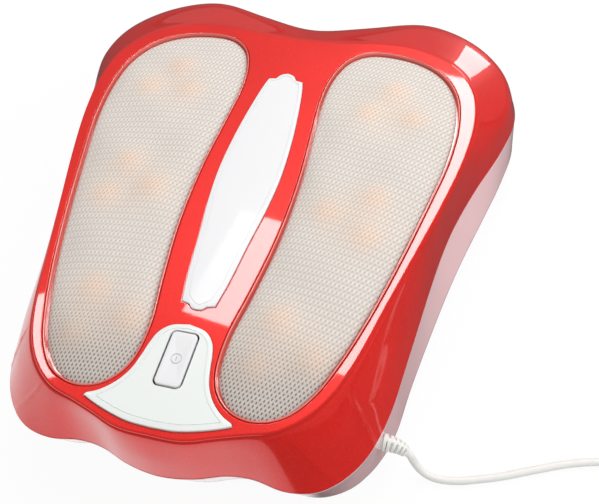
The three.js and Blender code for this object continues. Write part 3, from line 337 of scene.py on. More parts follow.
# Least share of a step along a sharp corner's bisector, which keeps the corner from shooting out
LEAST_LEAN = 0.6


def catmull_rom(points, per_span, closed=False):
    """Centripetal Catmull-Rom curve: each span is the cubic between two points whose end slopes
    come from the neighbouring points, weighted by the square roots of the distances."""
    points = np.asarray(points, float)
    if closed:
        before, start, end, after = (np.roll(points, shift, axis=0) for shift in (1, 0, -1, -2))
    else:
        padded = np.concatenate([[2 * points[0] - points[1]], points, [2 * points[-1] - points[-2]]])
        before, start, end, after = padded[:-3], padded[1:-2], padded[2:-1], padded[3:]

    def root_length(a, b):
        """Square root of the distance between two points."""
        return np.sqrt(np.linalg.norm(b - a, axis=-1, keepdims=True)) + 1e-9

    d0, d1, d2 = root_length(before, start), root_length(start, end), root_length(end, after)
    slope0 = ((start - before) / d0 - (end - before) / (d0 + d1)) * d1 + (end - start)
    slope1 = ((after - end) / d2 - (after - start) / (d1 + d2)) * d1 + (end - start)
    t = (np.arange(per_span) / per_span).reshape((1, per_span) + (1,) * (points.ndim - 1))
    start, end, slope0, slope1 = (a[:, None] for a in (start, end, slope0, slope1))
    curve = ((2 * t**3 - 3 * t**2 + 1) * start + (t**3 - 2 * t**2 + t) * slope0
             + (3 * t**2 - 2 * t**3) * end + (t**3 - t**2) * slope1)
    curve = curve.reshape((-1,) + points.shape[1:])
    return curve if closed else np.concatenate([curve, points[-1:]])


def smooth_loop(loop, harmonics):
    """Closed loop with each harmonic k of its outline weakened by exp(-(k / harmonics)^2 / 2)."""
    waves = np.fft.fft(loop, axis=0)
    order = np.abs(np.fft.fftfreq(len(loop), 1 / len(loop)))
    weight = np.exp(-0.5 * (order / harmonics) ** 2)
    return np.real(np.fft.ifft(waves * weight[:, None], axis=0))


def mirror_half(half):
    """Completes a front-to-back half outline with its mirror image across X = 0."""
    half = np.asarray(half, float)
    return np.concatenate([half, half[-2:0:-1] * (-1, 1)])


def body_outline(shares):
    """Anticlockwise outline of the body through its mirrored share points."""
    points = mirror_half(shares) * (BODY_WIDTH / 2, BODY_DEPTH / 2)
    return smooth_loop(catmull_rom(points, SAMPLES, closed=True), HARMONICS)


def scaled(shares, size, place):
    """Share points times half a size, about a place."""
    return np.asarray(shares, float) * (size[0] / 2, size[1] / 2) + place


def offset_loop(loop, distance):
    """Moves each point of an anticlockwise loop out along the bisector of its two edges."""
    into = loop - np.roll(loop, 1, axis=0)
    out = np.roll(into, -1, axis=0)
    into = into / np.linalg.norm(into, axis=1, keepdims=True)
    out = out / np.linalg.norm(out, axis=1, keepdims=True)
    along = into + out
    along /= np.linalg.norm(along, axis=1, keepdims=True)
    lean = np.maximum(np.abs(np.sum(along * out, axis=1, keepdims=True)), LEAST_LEAN)
    normal = np.stack([along[:, 1], -along[:, 0]], axis=1)
    return loop + normal * distance / lean


def circle_loop(radius, place=(0, 0), count=48):
    """Anticlockwise circle (radius cos a, radius sin a) about a place."""
    angle = np.linspace(0, 2 * math.pi, count, endpoint=False)
    return np.stack([np.cos(angle), np.sin(angle)], axis=1) * radius + place


def rounded_loop(width, length, corner, place, per_corner=10):
    """Anticlockwise rectangle whose corners are quarter circles."""
    angle = np.linspace(0, math.pi / 2, per_corner)
    arcs = []
    for quarter, (sx, sy) in enumerate([(1, -1), (1, 1), (-1, 1), (-1, -1)]):
        middle = np.array([sx * (width / 2 - corner), sy * (length / 2 - corner)])
        turn = angle + (quarter - 1) * math.pi / 2
        arcs.append(middle + corner * np.stack([np.cos(turn), np.sin(turn)], axis=1))
    return np.concatenate(arcs) + place


def at_height(loop, height):
    """Lifts a flat loop to a height."""
    return np.column_stack([loop, np.full(len(loop), float(height))])


def ring_at(loop, out, height):
    """Loop moved out by a distance and lifted to a height."""
    return at_height(offset_loop(loop, out), height)


def fillet(radius, steps=6):
    """Quarter round from a flat top to an upright side: (radius sin t, radius (cos t - 1))."""
    angle = np.linspace(0, math.pi / 2, steps + 1)
    return np.stack([radius * np.sin(angle), -radius * (1 - np.cos(angle))], axis=1)


def rounded_edge(loop, radius, top, steps=6, hole=False):
    """Rings of a quarter round that runs from a flat top into the upright side on a loop, which is
    a piece's outline or else a hole's."""
    sign = -1 if hole else 1
    return [ring_at(loop, sign * (out - radius), top + down) for out, down in fillet(radius, steps)]


# Meshes

class Skin:
    """Gathers the grids and flat fills of one piece and makes one clean mesh of them."""

    def __init__(self):
        self.points = []
        self.faces = []
        self.count = 0

    def add_points(self, points):
        """Adds points and tells the number of the first one."""
        points = np.asarray(points, float).reshape(-1, 3)
        first = self.count
        self.points.append(points)
        self.count += len(points)
        return first

    def grid(self, rings, closed=True):
        """Quads between successive rings of equal length: face (r, i) joins points i and i + 1
        of ring r to those of ring r + 1."""
        rings = np.asarray(rings, float)
        rows, columns = rings.shape[:2]
        index = self.add_points(rings) + np.arange(rows * columns).reshape(rows, columns)
        right = np.roll(index, -1, axis=1) if closed else index[:, 1:]
        left = index if closed else index[:, :-1]
        quads = np.stack([left[:-1], right[:-1], right[1:], left[1:]], axis=-1)
        self.faces.extend(quads.reshape(-1, 4).tolist())
        return self

    def cap(self, ring):
        """Closes a ring with a fan about its middle."""
        ring = np.asarray(ring, float)
        first = self.add_points(np.concatenate([ring, [ring.mean(axis=0)]]))
        middle = first + len(ring)
        count = len(ring)
        self.faces.extend([first + i, first + (i + 1) % count, middle] for i in range(count))
        return self

    def fill(self, loops, height):
        """Flat face at a height, bounded by the first loop and pierced by the others."""
        loops = [at_height(loop, height) for loop in loops]
        first = self.add_points(np.concatenate(loops))
        vectors = [[Vector(p) for p in loop] for loop in loops]
        self.faces.extend([first + i for i in face] for face in tessellate_polygon(vectors))
        return self

    def revolve(self, profile, place=(0, 0, 0), count=48):
        """Surface of revolution about an upright line: (r cos a, r sin a, z) over a profile of
        [r, z] pairs, closed where r is zero."""
        profile = np.asarray(profile, float)
        angle = np.linspace(0, 2 * math.pi, count, endpoint=False)
        radius = profile[:, 0][:, None]
        height = np.broadcast_to(profile[:, 1][:, None], (len(profile), count))
        rings = np.stack([radius * np.cos(angle), radius * np.sin(angle), height], axis=-1)
        return self.grid(rings + np.asarray(place, float))

    def tube(self, path, radii, sides=24, caps=True):
        """Round tube: a circle of each radius carried along the path on frames that turn as
        little as the path lets them."""
        path = np.asarray(path, float)
        side, over = carried_frames(path)
        angle = np.linspace(0, 2 * math.pi, sides, endpoint=False)
        radii = np.broadcast_to(np.asarray(radii, float), (len(path),) + np.shape(radii)[1:])
        radii = radii[:, None] if radii.ndim == 1 else radii
        rings = (path[:, None] + (radii * np.cos(angle))[..., None] * side[:, None]
                 + (radii * np.sin(angle))[..., None] * over[:, None])
        self.grid(rings)
        if caps:
            self.cap(rings[0]).cap(rings[-1])
        return self

    def make(self, name, crease=30.0, weld=1e-4):
        """Makes the mesh in metres, merges doubles, turns faces outward and smooths all but the
        edges sharper than the crease angle."""
        points = np.concatenate(self.points)
        mesh = bpy.data.meshes.new(name)
        mesh.from_pydata((points * MM).tolist(), [], self.faces)
        work = bmesh.new()
        work.from_mesh(mesh)
        bmesh.ops.remove_doubles(work, verts=work.verts, dist=weld * MM)
        bmesh.ops.dissolve_degenerate(work, edges=work.edges, dist=weld * MM)
        bmesh.ops.recalc_face_normals(work, faces=work.faces)
        work.to_mesh(mesh)
        work.free()
        mesh.polygons.foreach_set("use_smooth", np.ones(len(mesh.polygons), bool))
        mesh.set_sharp_from_angle(angle=math.radians(crease))
        piece = bpy.data.objects.new(name, mesh)
        bpy.context.scene.collection.objects.link(piece)
        return piece


def carried_frames(path):
    """Side and over vectors along a path. Each step takes away from the last side vector its
    part along the new direction, so the section hardly twists."""
    along = np.gradient(path, axis=0)
    along /= np.linalg.norm(along, axis=1, keepdims=True)
    side = np.empty_like(along)
    start = np.cross(along[0], (0, 0, 1))
    if np.linalg.norm(start) < 1e-6:
        start = np.array([1.0, 0, 0])
    for k, direction in enumerate(along):
        start = start - direction * np.dot(start, direction)
        start = start / np.linalg.norm(start)
        side[k] = start
    return side, np.cross(side, along)


def mesh_points(mesh):
    """Points of a mesh, in millimetres."""
    points = np.empty(len(mesh.vertices) * 3)
    mesh.vertices.foreach_get("co", points)
    return points.reshape(-1, 3) / MM


def add_values(mesh, name, values):
    """Adds one number for each point of a mesh."""
    layer = mesh.attributes.new(name, "FLOAT", "POINT")
    layer.data.foreach_set("value", np.asarray(values, np.float32))


def dress(piece, body, material, slot, *nodes):
    """Gives a new piece its material and its body, and hides the nodes it stands for. The slot is not used.
    """
    piece.data.materials.append(material)
    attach(piece, body)
    if nodes:
        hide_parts(*nodes)
    return piece


# Material groups and materials

# Scale of the broad unevenness, height of the moulding's grain and of the weave in metres, how soft
# the gaps' edges are and how far the crossings rise
BROAD_SCALE = 22.0
GRAIN_HEIGHT, WEAVE_HEIGHT = 0.0002, 0.0004
GAP_SOFTNESS, CROSSING_LIFT = 0.3, 0.3

# Lacquer: its darker tint, and how much brighter a flake is
RED_DRIFT_SHARE = 0.82
FLECK_GAIN_SHARE, FLECK_LIFT = 1.03, 0.006

# Cloth: how far the gaps are broken into dashes, the threads' drift, the painted shade where they dip, and
# the painted glow's amount and colour in the gaps, which stands in for the warm light through them. Where
# the mesh opens, the gaps are broken further, and gaps and threads are darker with painted shade
BREAK_SHARE, OPEN_BREAK_SHARE = 0.3, 0.15
THREAD_DRIFT_SHARE, THREAD_DIP_SHADE_SHARE = 0.95, 0.80
GAP_PAINTED_GLOW_SHARE, GAP_GLOW_SHARE = 0.6, 0.75
OPEN_GAP_SHADE_SHARE, OPEN_SHADE_SHARE, OPEN_THREAD_SHADE_SHARE = 0.22, 0.7, 0.62


def group(name, inputs, outputs):
    """Empty shader node group with float or colour sockets."""
    tree = bpy.data.node_groups.new(name, "ShaderNodeTree")
    for label, kind, value in inputs:
        socket = tree.interface.new_socket(label, in_out="INPUT", socket_type=kind)
        socket.default_value = value
    for label, kind in outputs:
        tree.interface.new_socket(label, in_out="OUTPUT", socket_type=kind)
    return tree, tree.nodes.new("NodeGroupInput"), tree.nodes.new("NodeGroupOutput")


def feed(tree, made, **values):
    """Sets a node's inputs by name, each to a value or to the socket that it follows."""
    for key, value in values.items():
        set_socket(tree, made.inputs[key.replace("_", " ")], value)
    return made


def set_socket(tree, socket, value):
    """Gives a socket its value, or links it to another socket."""
    if hasattr(value, "links"):
        tree.links.new(value, socket)
    else:
        socket.default_value = value


def node(tree, kind, settings=(), **values):
    """Adds a node, sets its properties, then feeds its inputs by name."""
    made = tree.nodes.new(kind)
    for key, value in dict(settings).items():
        setattr(made, key, value)
    return feed(tree, made, **values)


def math_node(tree, operation, *values):
    """Math node whose inputs are numbers or sockets."""
    made = tree.nodes.new("ShaderNodeMath")
    made.operation = operation
    for socket, value in zip(made.inputs, values):
        set_socket(tree, socket, value)
    return made.outputs[0]


def colour_mix(tree, share, first, second):
    """Colour mix whose share is a number or socket and whose colours are tuples or sockets."""
    made = node(tree, "ShaderNodeMix", {"data_type": "RGBA"})
    for socket, value in zip((made.inputs[0], made.inputs[6], made.inputs[7]), (share, first, second)):
        set_socket(tree, socket, value)
    return made.outputs[2]


def opaque(colour, strength=1.0):
    """Colour with full alpha, made darker or lighter by a factor."""
    return (*(strength * c for c in colour), 1)


def object_scaled(tree, scale):
    """Object coordinates times a scale, for patterns of a real size."""
    place = tree.nodes.new("ShaderNodeTexCoord")
    spread = node(tree, "ShaderNodeVectorMath", {"operation": "SCALE"}, Scale=scale)
    tree.links.new(place.outputs["Object"], spread.inputs[0])
    return spread.outputs[0]


def noise(tree, scale, detail):
    """Noise over the object's own coordinates."""
    return node(tree, "ShaderNodeTexNoise", Scale=1.0, Detail=detail, Vector=object_scaled(tree, scale))


def moulding_grain():
    """Fine uneven surface of moulded plastic: a height and a roughness change from two noises."""
    name = "Moulding grain"
    if name in bpy.data.node_groups:
        return bpy.data.node_groups[name]
    inputs = [("Scale", "NodeSocketFloat", 900.0), ("Roughness", "NodeSocketFloat", 0.4),
              ("Unevenness", "NodeSocketFloat", 0.1)]
    outputs = [("Height", "NodeSocketFloat"), ("Roughness", "NodeSocketFloat")]
    tree, enter, leave = group(name, inputs, outputs)
    fine = noise(tree, enter.outputs["Scale"], 3.0)
    broad = noise(tree, BROAD_SCALE, 2.0)
    shift = math_node(tree, "SUBTRACT", broad.outputs[0], 0.5)
    spread = math_node(tree, "MULTIPLY", shift, enter.outputs["Unevenness"])
    total = math_node(tree, "ADD", spread, enter.outputs["Roughness"])
    feed(tree, leave, Height=fine.outputs[0], Roughness=total)
    return tree


def tinted_noise():
    """Colour that drifts a little between two tints over the surface."""
    name = "Tint drift"
    if name in bpy.data.node_groups:
        return bpy.data.node_groups[name]
    inputs = [("Tint", "NodeSocketColor", (1, 1, 1, 1)),
              ("Second tint", "NodeSocketColor", (0.9, 0.9, 0.9, 1)),
              ("Scale", "NodeSocketFloat", 30.0)]
    tree, enter, leave = group(name, inputs, [("Color", "NodeSocketColor")])
    drift = noise(tree, enter.outputs["Scale"], 4.0)
    tints = (enter.outputs["Tint"], enter.outputs["Second tint"])
    feed(tree, leave, Color=colour_mix(tree, drift.outputs[0], *tints))
    return tree


def pearl_flecks():
    """Tiny bright flakes under a gloss lacquer: cells whose random value passes a threshold."""
    name = "Pearl flecks"
    if name in bpy.data.node_groups:
        return bpy.data.node_groups[name]
    inputs = [("Scale", "NodeSocketFloat", 2500.0), ("Share", "NodeSocketFloat", 0.8)]
    tree, enter, leave = group(name, inputs, [("Flake", "NodeSocketFloat")])
    spots = object_scaled(tree, enter.outputs["Scale"])
    cells = node(tree, "ShaderNodeTexVoronoi", Scale=1.0, Vector=spots)
    red = node(tree, "ShaderNodeSeparateColor", Color=cells.outputs["Color"])
    flake = math_node(tree, "GREATER_THAN", red.outputs[0], enter.outputs["Share"])
    feed(tree, leave, Flake=flake)
    return tree


def woven_mesh():
    """Open weave from the two phases in the mesh's own map: slanted gaps where
    |sin u| (1 - break (1 - |sin v|)) is large, where break tells how far the second family cuts
    the gaps into dashes, and a height that rises over every other crossing as cos u cos v."""
    name = "Woven mesh"
    if name in bpy.data.node_groups:
        return bpy.data.node_groups[name]
    inputs = [("Gap", "NodeSocketFloat", 0.6), ("Break", "NodeSocketFloat", 0.4)]
    outputs = [("Gap", "NodeSocketFloat"), ("Height", "NodeSocketFloat"), ("Crossing", "NodeSocketFloat")]
    tree, enter, leave = group(name, inputs, outputs)
    place = node(tree, "ShaderNodeUVMap", {"uv_map": "weave"})
    apart = node(tree, "ShaderNodeSeparateXYZ", Vector=place.outputs["UV"])
    waves = []
    for phase in apart.outputs[:2]:
        turn = math_node(tree, "MULTIPLY", phase, math.pi)
        waves.append((math_node(tree, "SINE", turn), math_node(tree, "COSINE", turn)))
    across = math_node(tree, "SUBTRACT", math_node(tree, "ABSOLUTE", waves[1][0]), 1.0)
    dashes = math_node(tree, "MULTIPLY_ADD", across, enter.outputs["Break"], 1.0)
    sines = math_node(tree, "MULTIPLY", math_node(tree, "ABSOLUTE", waves[0][0]), dashes)
    cosines = math_node(tree, "MULTIPLY", waves[0][1], waves[1][1])
    gap = node(tree, "ShaderNodeMapRange", {"interpolation_type": "SMOOTHSTEP"}, Value=sines,
               From_Min=enter.outputs["Gap"],
               From_Max=math_node(tree, "ADD", enter.outputs["Gap"], GAP_SOFTNESS))
    lift = math_node(tree, "MULTIPLY", cosines, CROSSING_LIFT)
    height = math_node(tree, "SUBTRACT", lift, sines)
    half = math_node(tree, "MULTIPLY", cosines, 0.5)
    feed(tree, leave, Gap=gap.outputs[0], Height=height, Crossing=math_node(tree, "ADD", half, 0.5))
    return tree


def use_group(tree, source, **values):
    """Node that runs a group with these input values."""
    return node(tree, "ShaderNodeGroup", {"node_tree": source}, **values)


def new_material(name):
    """Empty material with its tree and its one shader."""
    material = bpy.data.materials.new(name)
    material.use_nodes = True
    tree = material.node_tree
    return material, tree, tree.nodes["Principled BSDF"]


def plastic(name, tint, second, roughness=0.4, coat=0.0, coat_roughness=0.05, grain=0.02, scale=900.0,
            metallic=0.0, unevenness=0.08, **sockets):
    """Moulded plastic, or with other values metal or rubber: drifting tint, grain and coat."""
    if name in bpy.data.materials:
        return bpy.data.materials[name]
    material, tree, shader = new_material(name)
    drift = use_group(tree, tinted_noise(), Tint=opaque(tint), Second_tint=opaque(second))
    surface = use_group(tree, moulding_grain(), Scale=scale, Roughness=roughness, Unevenness=unevenness)
    bump = node(tree, "ShaderNodeBump", Strength=grain, Distance=GRAIN_HEIGHT,
                Height=surface.outputs["Height"])
    feed(tree, shader, Metallic=metallic, Coat_Weight=coat, Coat_Roughness=coat_roughness,
         Base_Color=drift.outputs["Color"], Roughness=surface.outputs["Roughness"],
         Normal=bump.outputs[0], **sockets)
    return material


def pearl_red():
    """Red lacquer with pearl flakes under a clear coat."""
    settings = bpy.context.scene.massager_housing
    name = "Pearl red lacquer"
    if name in bpy.data.materials:
        return bpy.data.materials[name]
    red = tuple(settings.shell_colour)
    deep = tuple(RED_DRIFT_SHARE * c for c in red)
    material = plastic(name, red, deep, roughness=settings.shell_roughness, coat=1.0, coat_roughness=0.03,
                       grain=0.01, metallic=settings.pearl, Specular_IOR_Level=0.2)
    tree = material.node_tree
    shader = tree.nodes["Principled BSDF"]
    drift = shader.inputs["Base Color"].links[0].from_socket
    flecks = use_group(tree, pearl_flecks(), Scale=2200.0, Share=0.9)
    bright = opaque(min(1.0, FLECK_GAIN_SHARE * c + FLECK_LIFT) for c in red)
    feed(tree, shader, Base_Color=colour_mix(tree, flecks.outputs[0], drift, bright))
    return material


def value_of(tree, name):
    """Socket with a number stored on the mesh's points."""
    return node(tree, "ShaderNodeAttribute", {"attribute_name": name}).outputs["Fac"]


def mesh_cloth():
    """Open woven cloth: pale threads with painted shade where they dip, see-through gaps darkened by
    painted shade of the inside, more so towards the front, and a painted glow where the lit knobs lie under
    it, which stands in for their warm light through the cloth."""
    settings = bpy.context.scene.massager_cloth
    name = "Woven mesh cloth"
    if name in bpy.data.materials:
        return bpy.data.materials[name]
    material, tree, shader = new_material(name)
    colours = (settings.thread_colour, settings.gap_shade_colour, settings.painted_glow_colour)
    thread, gap_shade, glow = (tuple(colour) for colour in colours)
    opened, painted_glow = value_of(tree, "openness"), value_of(tree, "painted_glow")
    broken = math_node(tree, "MULTIPLY_ADD", opened, OPEN_BREAK_SHARE, BREAK_SHARE)
    weave = use_group(tree, woven_mesh(), Gap=settings.gap, Break=broken)
    drift = use_group(tree, tinted_noise(), Scale=26.0, Tint=opaque(thread),
                      Second_tint=opaque(thread, THREAD_DRIFT_SHARE))
    # Painted shade where the threads dip under the crossings
    dip_shade = opaque(thread, THREAD_DIP_SHADE_SHARE)
    threads = colour_mix(tree, weave.outputs["Crossing"], dip_shade, drift.outputs["Color"])
    # Painted glow over the lit knobs
    threads = colour_mix(tree, math_node(tree, "MULTIPLY", painted_glow, settings.painted_glow), threads, opaque(glow))
    # Painted shade over the threads towards the front, where the mesh opens
    threads = colour_mix(tree, math_node(tree, "MULTIPLY", opened, OPEN_SHADE_SHARE), threads,
                         opaque(thread, OPEN_THREAD_SHADE_SHARE))
    # Gaps: painted shade of the inside seen through them, darker towards the front, then painted glow over
    # the knobs
    gaps = colour_mix(tree, opened, opaque(gap_shade), opaque(gap_shade, OPEN_GAP_SHADE_SHARE))
    gaps = colour_mix(tree, math_node(tree, "MULTIPLY", painted_glow, GAP_PAINTED_GLOW_SHARE), gaps,
                      opaque(glow, GAP_GLOW_SHARE))
    opacity = node(tree, "ShaderNodeMapRange", Value=weave.outputs["Gap"], To_Min=settings.thread_alpha,
                   To_Max=settings.gap_alpha)
    bump = node(tree, "ShaderNodeBump", Strength=0.5, Distance=WEAVE_HEIGHT,
                Height=weave.outputs["Height"])
    feed(tree, shader, Roughness=0.7, Sheen_Weight=0.15, Sheen_Roughness=0.5,
         Base_Color=colour_mix(tree, weave.outputs["Gap"], threads, gaps),
         Alpha=opacity.outputs[0], Normal=bump.outputs[0])
    return material


def glowing_amber():
    """Translucent amber plastic lit from inside, brightest where the attribute glow is one."""
    settings = bpy.context.scene.massager_heads
    name = "Glowing amber"
    if name in bpy.data.materials:
        return bpy.data.materials[name]
    material = plastic(name, (0.95, 0.42, 0.16), (0.85, 0.33, 0.12), roughness=0.25, coat=0.4,
                       Subsurface_Weight=0.2, Subsurface_Radius=(0.01, 0.005, 0.003),
                       Emission_Strength=settings.glow_strength)
    tree = material.node_tree
    glow = tuple(settings.glow_colour)
    ramp = colour_mix(tree, value_of(tree, "glow"), opaque(glow, settings.glow_floor), opaque(glow))
    feed(tree, tree.nodes["Principled BSDF"], Emission_Color=ramp)
    return material


# Housing

def wall_profile():
    """Rings of the outer wall from the parting line to the deck's flat: the edge with its shadow
    line, a smooth curve through the edge, the shoulder and the rim, then a quarter round. Under the
    rim each ring moves in by depth (1 - |height - line| / half height)."""
    edge, shoulder, rim = (body_outline(s) for s in (EDGE_SHARES, SHOULDER_SHARES, RIM_SHARES))
    rounding = bpy.context.scene.massager_housing.rim_rounding / MM
    under = rim + (shoulder - rim) * UNDER_RIM_SHARE
    keys = [at_height(edge, PARTING_HEIGHT + WALL_START),
            ring_at(shoulder, WALL_SWELL, SHOULDER_HEIGHT),
            ring_at(under, WALL_SWELL, DECK_HEIGHT - UNDER_RIM_DROP),
            at_height(rim, DECK_HEIGHT - rounding)]
    wall = creased(catmull_rom(np.array(keys), WALL_SAMPLES))
    away = np.abs(wall[:, 0, 2] - DECK_HEIGHT + RIM_LINE_DROP)
    dip = RIM_LINE_DEPTH * np.clip(1 - away / RIM_LINE_HALF, 0, 1)
    wall = [ring_at(ring[:, :2], -depth, ring[0, 2]) for ring, depth in zip(wall, dip)]
    lip = [ring_at(edge, out, PARTING_HEIGHT + up) for out, up in UPPER_EDGE_RINGS]
    return np.array(lip + wall + rounded_edge(rim, rounding, DECK_HEIGHT)[::-1][1:])


def creased(wall):
    """Adds the fine raised lines down the front lobes' walls: each ring moves out by the line's
    height times 1 - |i - line| / half width, fading towards the line's ends."""
    count = wall.shape[1]
    columns = np.arange(count)
    rise = (wall[:, 0, 2] - wall[0, 0, 2]) / (wall[-1, 0, 2] - wall[0, 0, 2])
    rings = []
    for ring, share in zip(wall, rise):
        height = np.zeros(count)
        for low, high, end in CREASES:
            line = (low + (high - low) * share) * SAMPLES
            fade = (np.clip((end - share) / CREASE_TOP_SHARE, 0, 1)
                    * np.clip(share / CREASE_FOOT_SHARE, 0, 1))
            for middle in (line, count - line):
                near = np.clip(1 - np.abs(columns - middle) / CREASE_HALF, 0, 1)
                height = np.maximum(height, CREASE_HEIGHT * fade * near)
        rings.append(ring_at(ring[:, :2], height[:, None], ring[0, 2]))
    return np.array(rings)


def window_loop(side):
    """Anticlockwise outline of the right window, or its mirror image."""
    points = scaled(WINDOW_SHARES, WINDOW_SIZE, WINDOW_PLACE)
    loop = smooth_loop(catmull_rom(points, WINDOW_SAMPLES, closed=True), WINDOW_HARMONICS)
    return loop if side == "right" else loop[::-1] * (-1, 1)


def curves_loop(tables, size, place):
    """Anticlockwise outline of a plate: one smooth curve through each table's share points, with
    corners between them, and the mirror image."""
    parts = [catmull_rom(scaled(shares, size, place), PLATE_SAMPLES) for shares in tables]
    return mirror_half(np.concatenate(parts))


def plate_loop():
    """Outline of the long plate between the windows."""
    return curves_loop((PLATE_FRONT_SHARES, PLATE_SIDE_SHARES, PLATE_BACK_SHARES), PLATE_SIZE, (0, PLATE_Y))


def panel_loop():
    """Outline of the control panel."""
    return curves_loop((PANEL_FRONT_SHARES, PANEL_SIDE_SHARES), PANEL_SIZE, (0, PANEL_Y))


def button_loop(grow=0.0):
    """Outline of the push button, grown all round by a distance."""
    width, length = BUTTON_SIZE
    return rounded_loop(width + 2 * grow, length + 2 * grow, BUTTON_CORNER + grow, (0, BUTTON_Y))


def mouth(skin, loop, top, bottom, radius):
    """Edge of a hole: a narrow flat margin, a round of the radius and an upright side down to the
    bottom. Returns the loop where the surrounding flat face ends."""
    margin = offset_loop(loop, radius + HOLE_MARGIN)
    side = [*rounded_edge(loop, radius, top, hole=True), at_height(loop, bottom)]
    skin.grid([at_height(margin, top), *side])
    return margin


def square_section(inner, outer, low, high):
    """Closed profile of a ring with a square section, as radius and height."""
    return [(inner, low), (outer, low), (outer, high), (inner, high), (inner, low)]


def top_housing():
    """Upper housing: outer wall, deck with its windows and recesses, ceiling and inner wall. The
    inner wall's rings are the body's outlines moved in by the wall's thickness."""
    skin = Skin()
    wall = wall_profile()
    deck_edge = offset_loop(wall[-1][:, :2], -DECK_MARGIN)
    skin.grid([*wall, at_height(deck_edge, DECK_HEIGHT)])
    windows = [offset_loop(window_loop(side), BEZEL_OUT + BEZEL_GAP) for side in SIDES]
    margins = [mouth(skin, loop, DECK_HEIGHT, CEILING, WINDOW_ROUND) for loop in windows]
    plate, panel = (offset_loop(loop, CLEARANCE) for loop in (plate_loop(), panel_loop()))
    margins += [mouth(skin, loop, DECK_HEIGHT, PANEL_SEAT, SEAT_ROUND) for loop in (plate, panel)]
    skin.fill([deck_edge, *margins], DECK_HEIGHT)
    button = button_loop(BUTTON_GAP + DECK_HOLE_PLAY)
    skin.fill([plate], PANEL_SEAT)
    skin.fill([panel, button], PANEL_SEAT)
    skin.grid([at_height(button, PANEL_SEAT), at_height(button, CEILING)])
    edge, shoulder, rim = (body_outline(s) for s in (EDGE_SHARES, SHOULDER_SHARES, RIM_SHARES))
    lap = edge + (shoulder - edge) * UPPER_LAP_SHARE
    lap_top = PARTING_HEIGHT + LAP_HEIGHT + CLEARANCE
    inner = [ring_at(edge, UPPER_EDGE_RINGS[0][0], PARTING_HEIGHT + SEAM_HALF),
             ring_at(edge, -LAP_WALL, PARTING_HEIGHT + SEAM_HALF),
             ring_at(lap, -LAP_WALL, lap_top),
             ring_at(lap, -WALL, lap_top),
             ring_at(shoulder, -WALL, SHOULDER_HEIGHT - WALL / 2),
             ring_at(rim, -WALL - CEILING_ROUND, CEILING)]
    skin.grid(inner)
    skin.fill([inner[-1][:, :2], *windows, button], CEILING)
    return skin.make("top_housing", crease=35)


def screw_posts():
    """Hollow posts that carry the case screws, down to the bosses of the lower housing."""
    skin = Skin()
    for place in four_places(POST_SHARES):
        skin.revolve(square_section(POST_BORE, POST_RADIUS, POST_BOTTOM, POST_TOP), (*place, 0), 24)
    return skin.make("screw_posts")


def four_places(shares):
    """Places at share points of the body's half size, and their mirror images."""
    right = [(u * BODY_WIDTH / 2, v * BODY_DEPTH / 2) for u, v in shares]
    return right + [(-x, y) for x, y in right]


def bottom_housing():
    """Lower housing: rounded underside with vents, screw wells and foot seats, and a tongue. Its
    wall is a quarter round, a smooth curve through three outlines and the seam's edge, and the
    underside's outline moves back at the front by tuck (start - y) / run."""
    skin = Skin()
    edge, shoulder, base = (body_outline(s) for s in (EDGE_SHARES, SHOULDER_SHARES, BASE_SHARES))
    base[:, 1] += FRONT_TUCK * np.clip((TUCK_START - base[:, 1]) / TUCK_RUN, 0, 1)
    rounding = bpy.context.scene.massager_housing.base_rounding / MM
    seam = PARTING_HEIGHT - SEAM_HALF
    lap = edge + (shoulder - edge) * LOWER_LAP_SHARE
    lap_top = PARTING_HEIGHT + LAP_HEIGHT
    arc = [ring_at(base, out - rounding, FOOT_HEIGHT - down) for out, down in fillet(rounding, 8)]
    keys = [arc[-1], at_height(base + (edge - base) * BULGE_SHARE, BULGE_HEIGHT),
            at_height(edge, seam - LOWER_EDGE_DROP)]
    rings = [*arc, *catmull_rom(np.array(keys), BASE_SAMPLES)[1:],
             *(ring_at(edge, out, seam + up) for out, up in LOWER_EDGE_RINGS),
             ring_at(edge, -LAP_WALL - CLEARANCE, seam),
             ring_at(lap, -LAP_WALL - CLEARANCE, lap_top),
             ring_at(lap, -WALL, lap_top),
             ring_at(base, -WALL, FOOT_HEIGHT + rounding),
             ring_at(base, -WALL - rounding, TRAY_FLOOR)]
    skin.grid(rings)
    middle = (VENT_COUNT - 1) / 2
    vents = [rounded_loop(*VENT_SIZE, VENT_CORNER, (0, VENT_Y + (i - middle) * VENT_PITCH), 6)
             for i in range(VENT_COUNT)]
    for loop in vents:
        skin.grid([at_height(loop, FOOT_HEIGHT), at_height(loop, TRAY_FLOOR)])
    wells, bosses = [], []
    for place in four_places(POST_SHARES):
        well, hole, boss = (circle_loop(r, place, 40) for r in (WELL_RADIUS, POST_BORE, BOSS_RADIUS))
        skin.grid([at_height(well, FOOT_HEIGHT), at_height(well, WELL_TOP), at_height(hole, WELL_TOP),
                   at_height(hole, BOSS_TOP), at_height(boss, BOSS_TOP), at_height(boss, TRAY_FLOOR)])
        wells.append(well)
        bosses.append(boss)
    seats = [circle_loop(SEAT_RADIUS, place, 56) for place in four_places(PAD_SHARES)]
    seat_top = FOOT_HEIGHT + SEAT_DEPTH
    for loop in seats:
        skin.grid([at_height(loop, FOOT_HEIGHT), at_height(loop, seat_top)]).fill([loop], seat_top)
    skin.fill([rings[0][:, :2], *vents, *wells, *seats], FOOT_HEIGHT)
    skin.fill([rings[-1][:, :2], *vents, *bosses], TRAY_FLOOR)
    return skin.make("bottom_housing", crease=35)


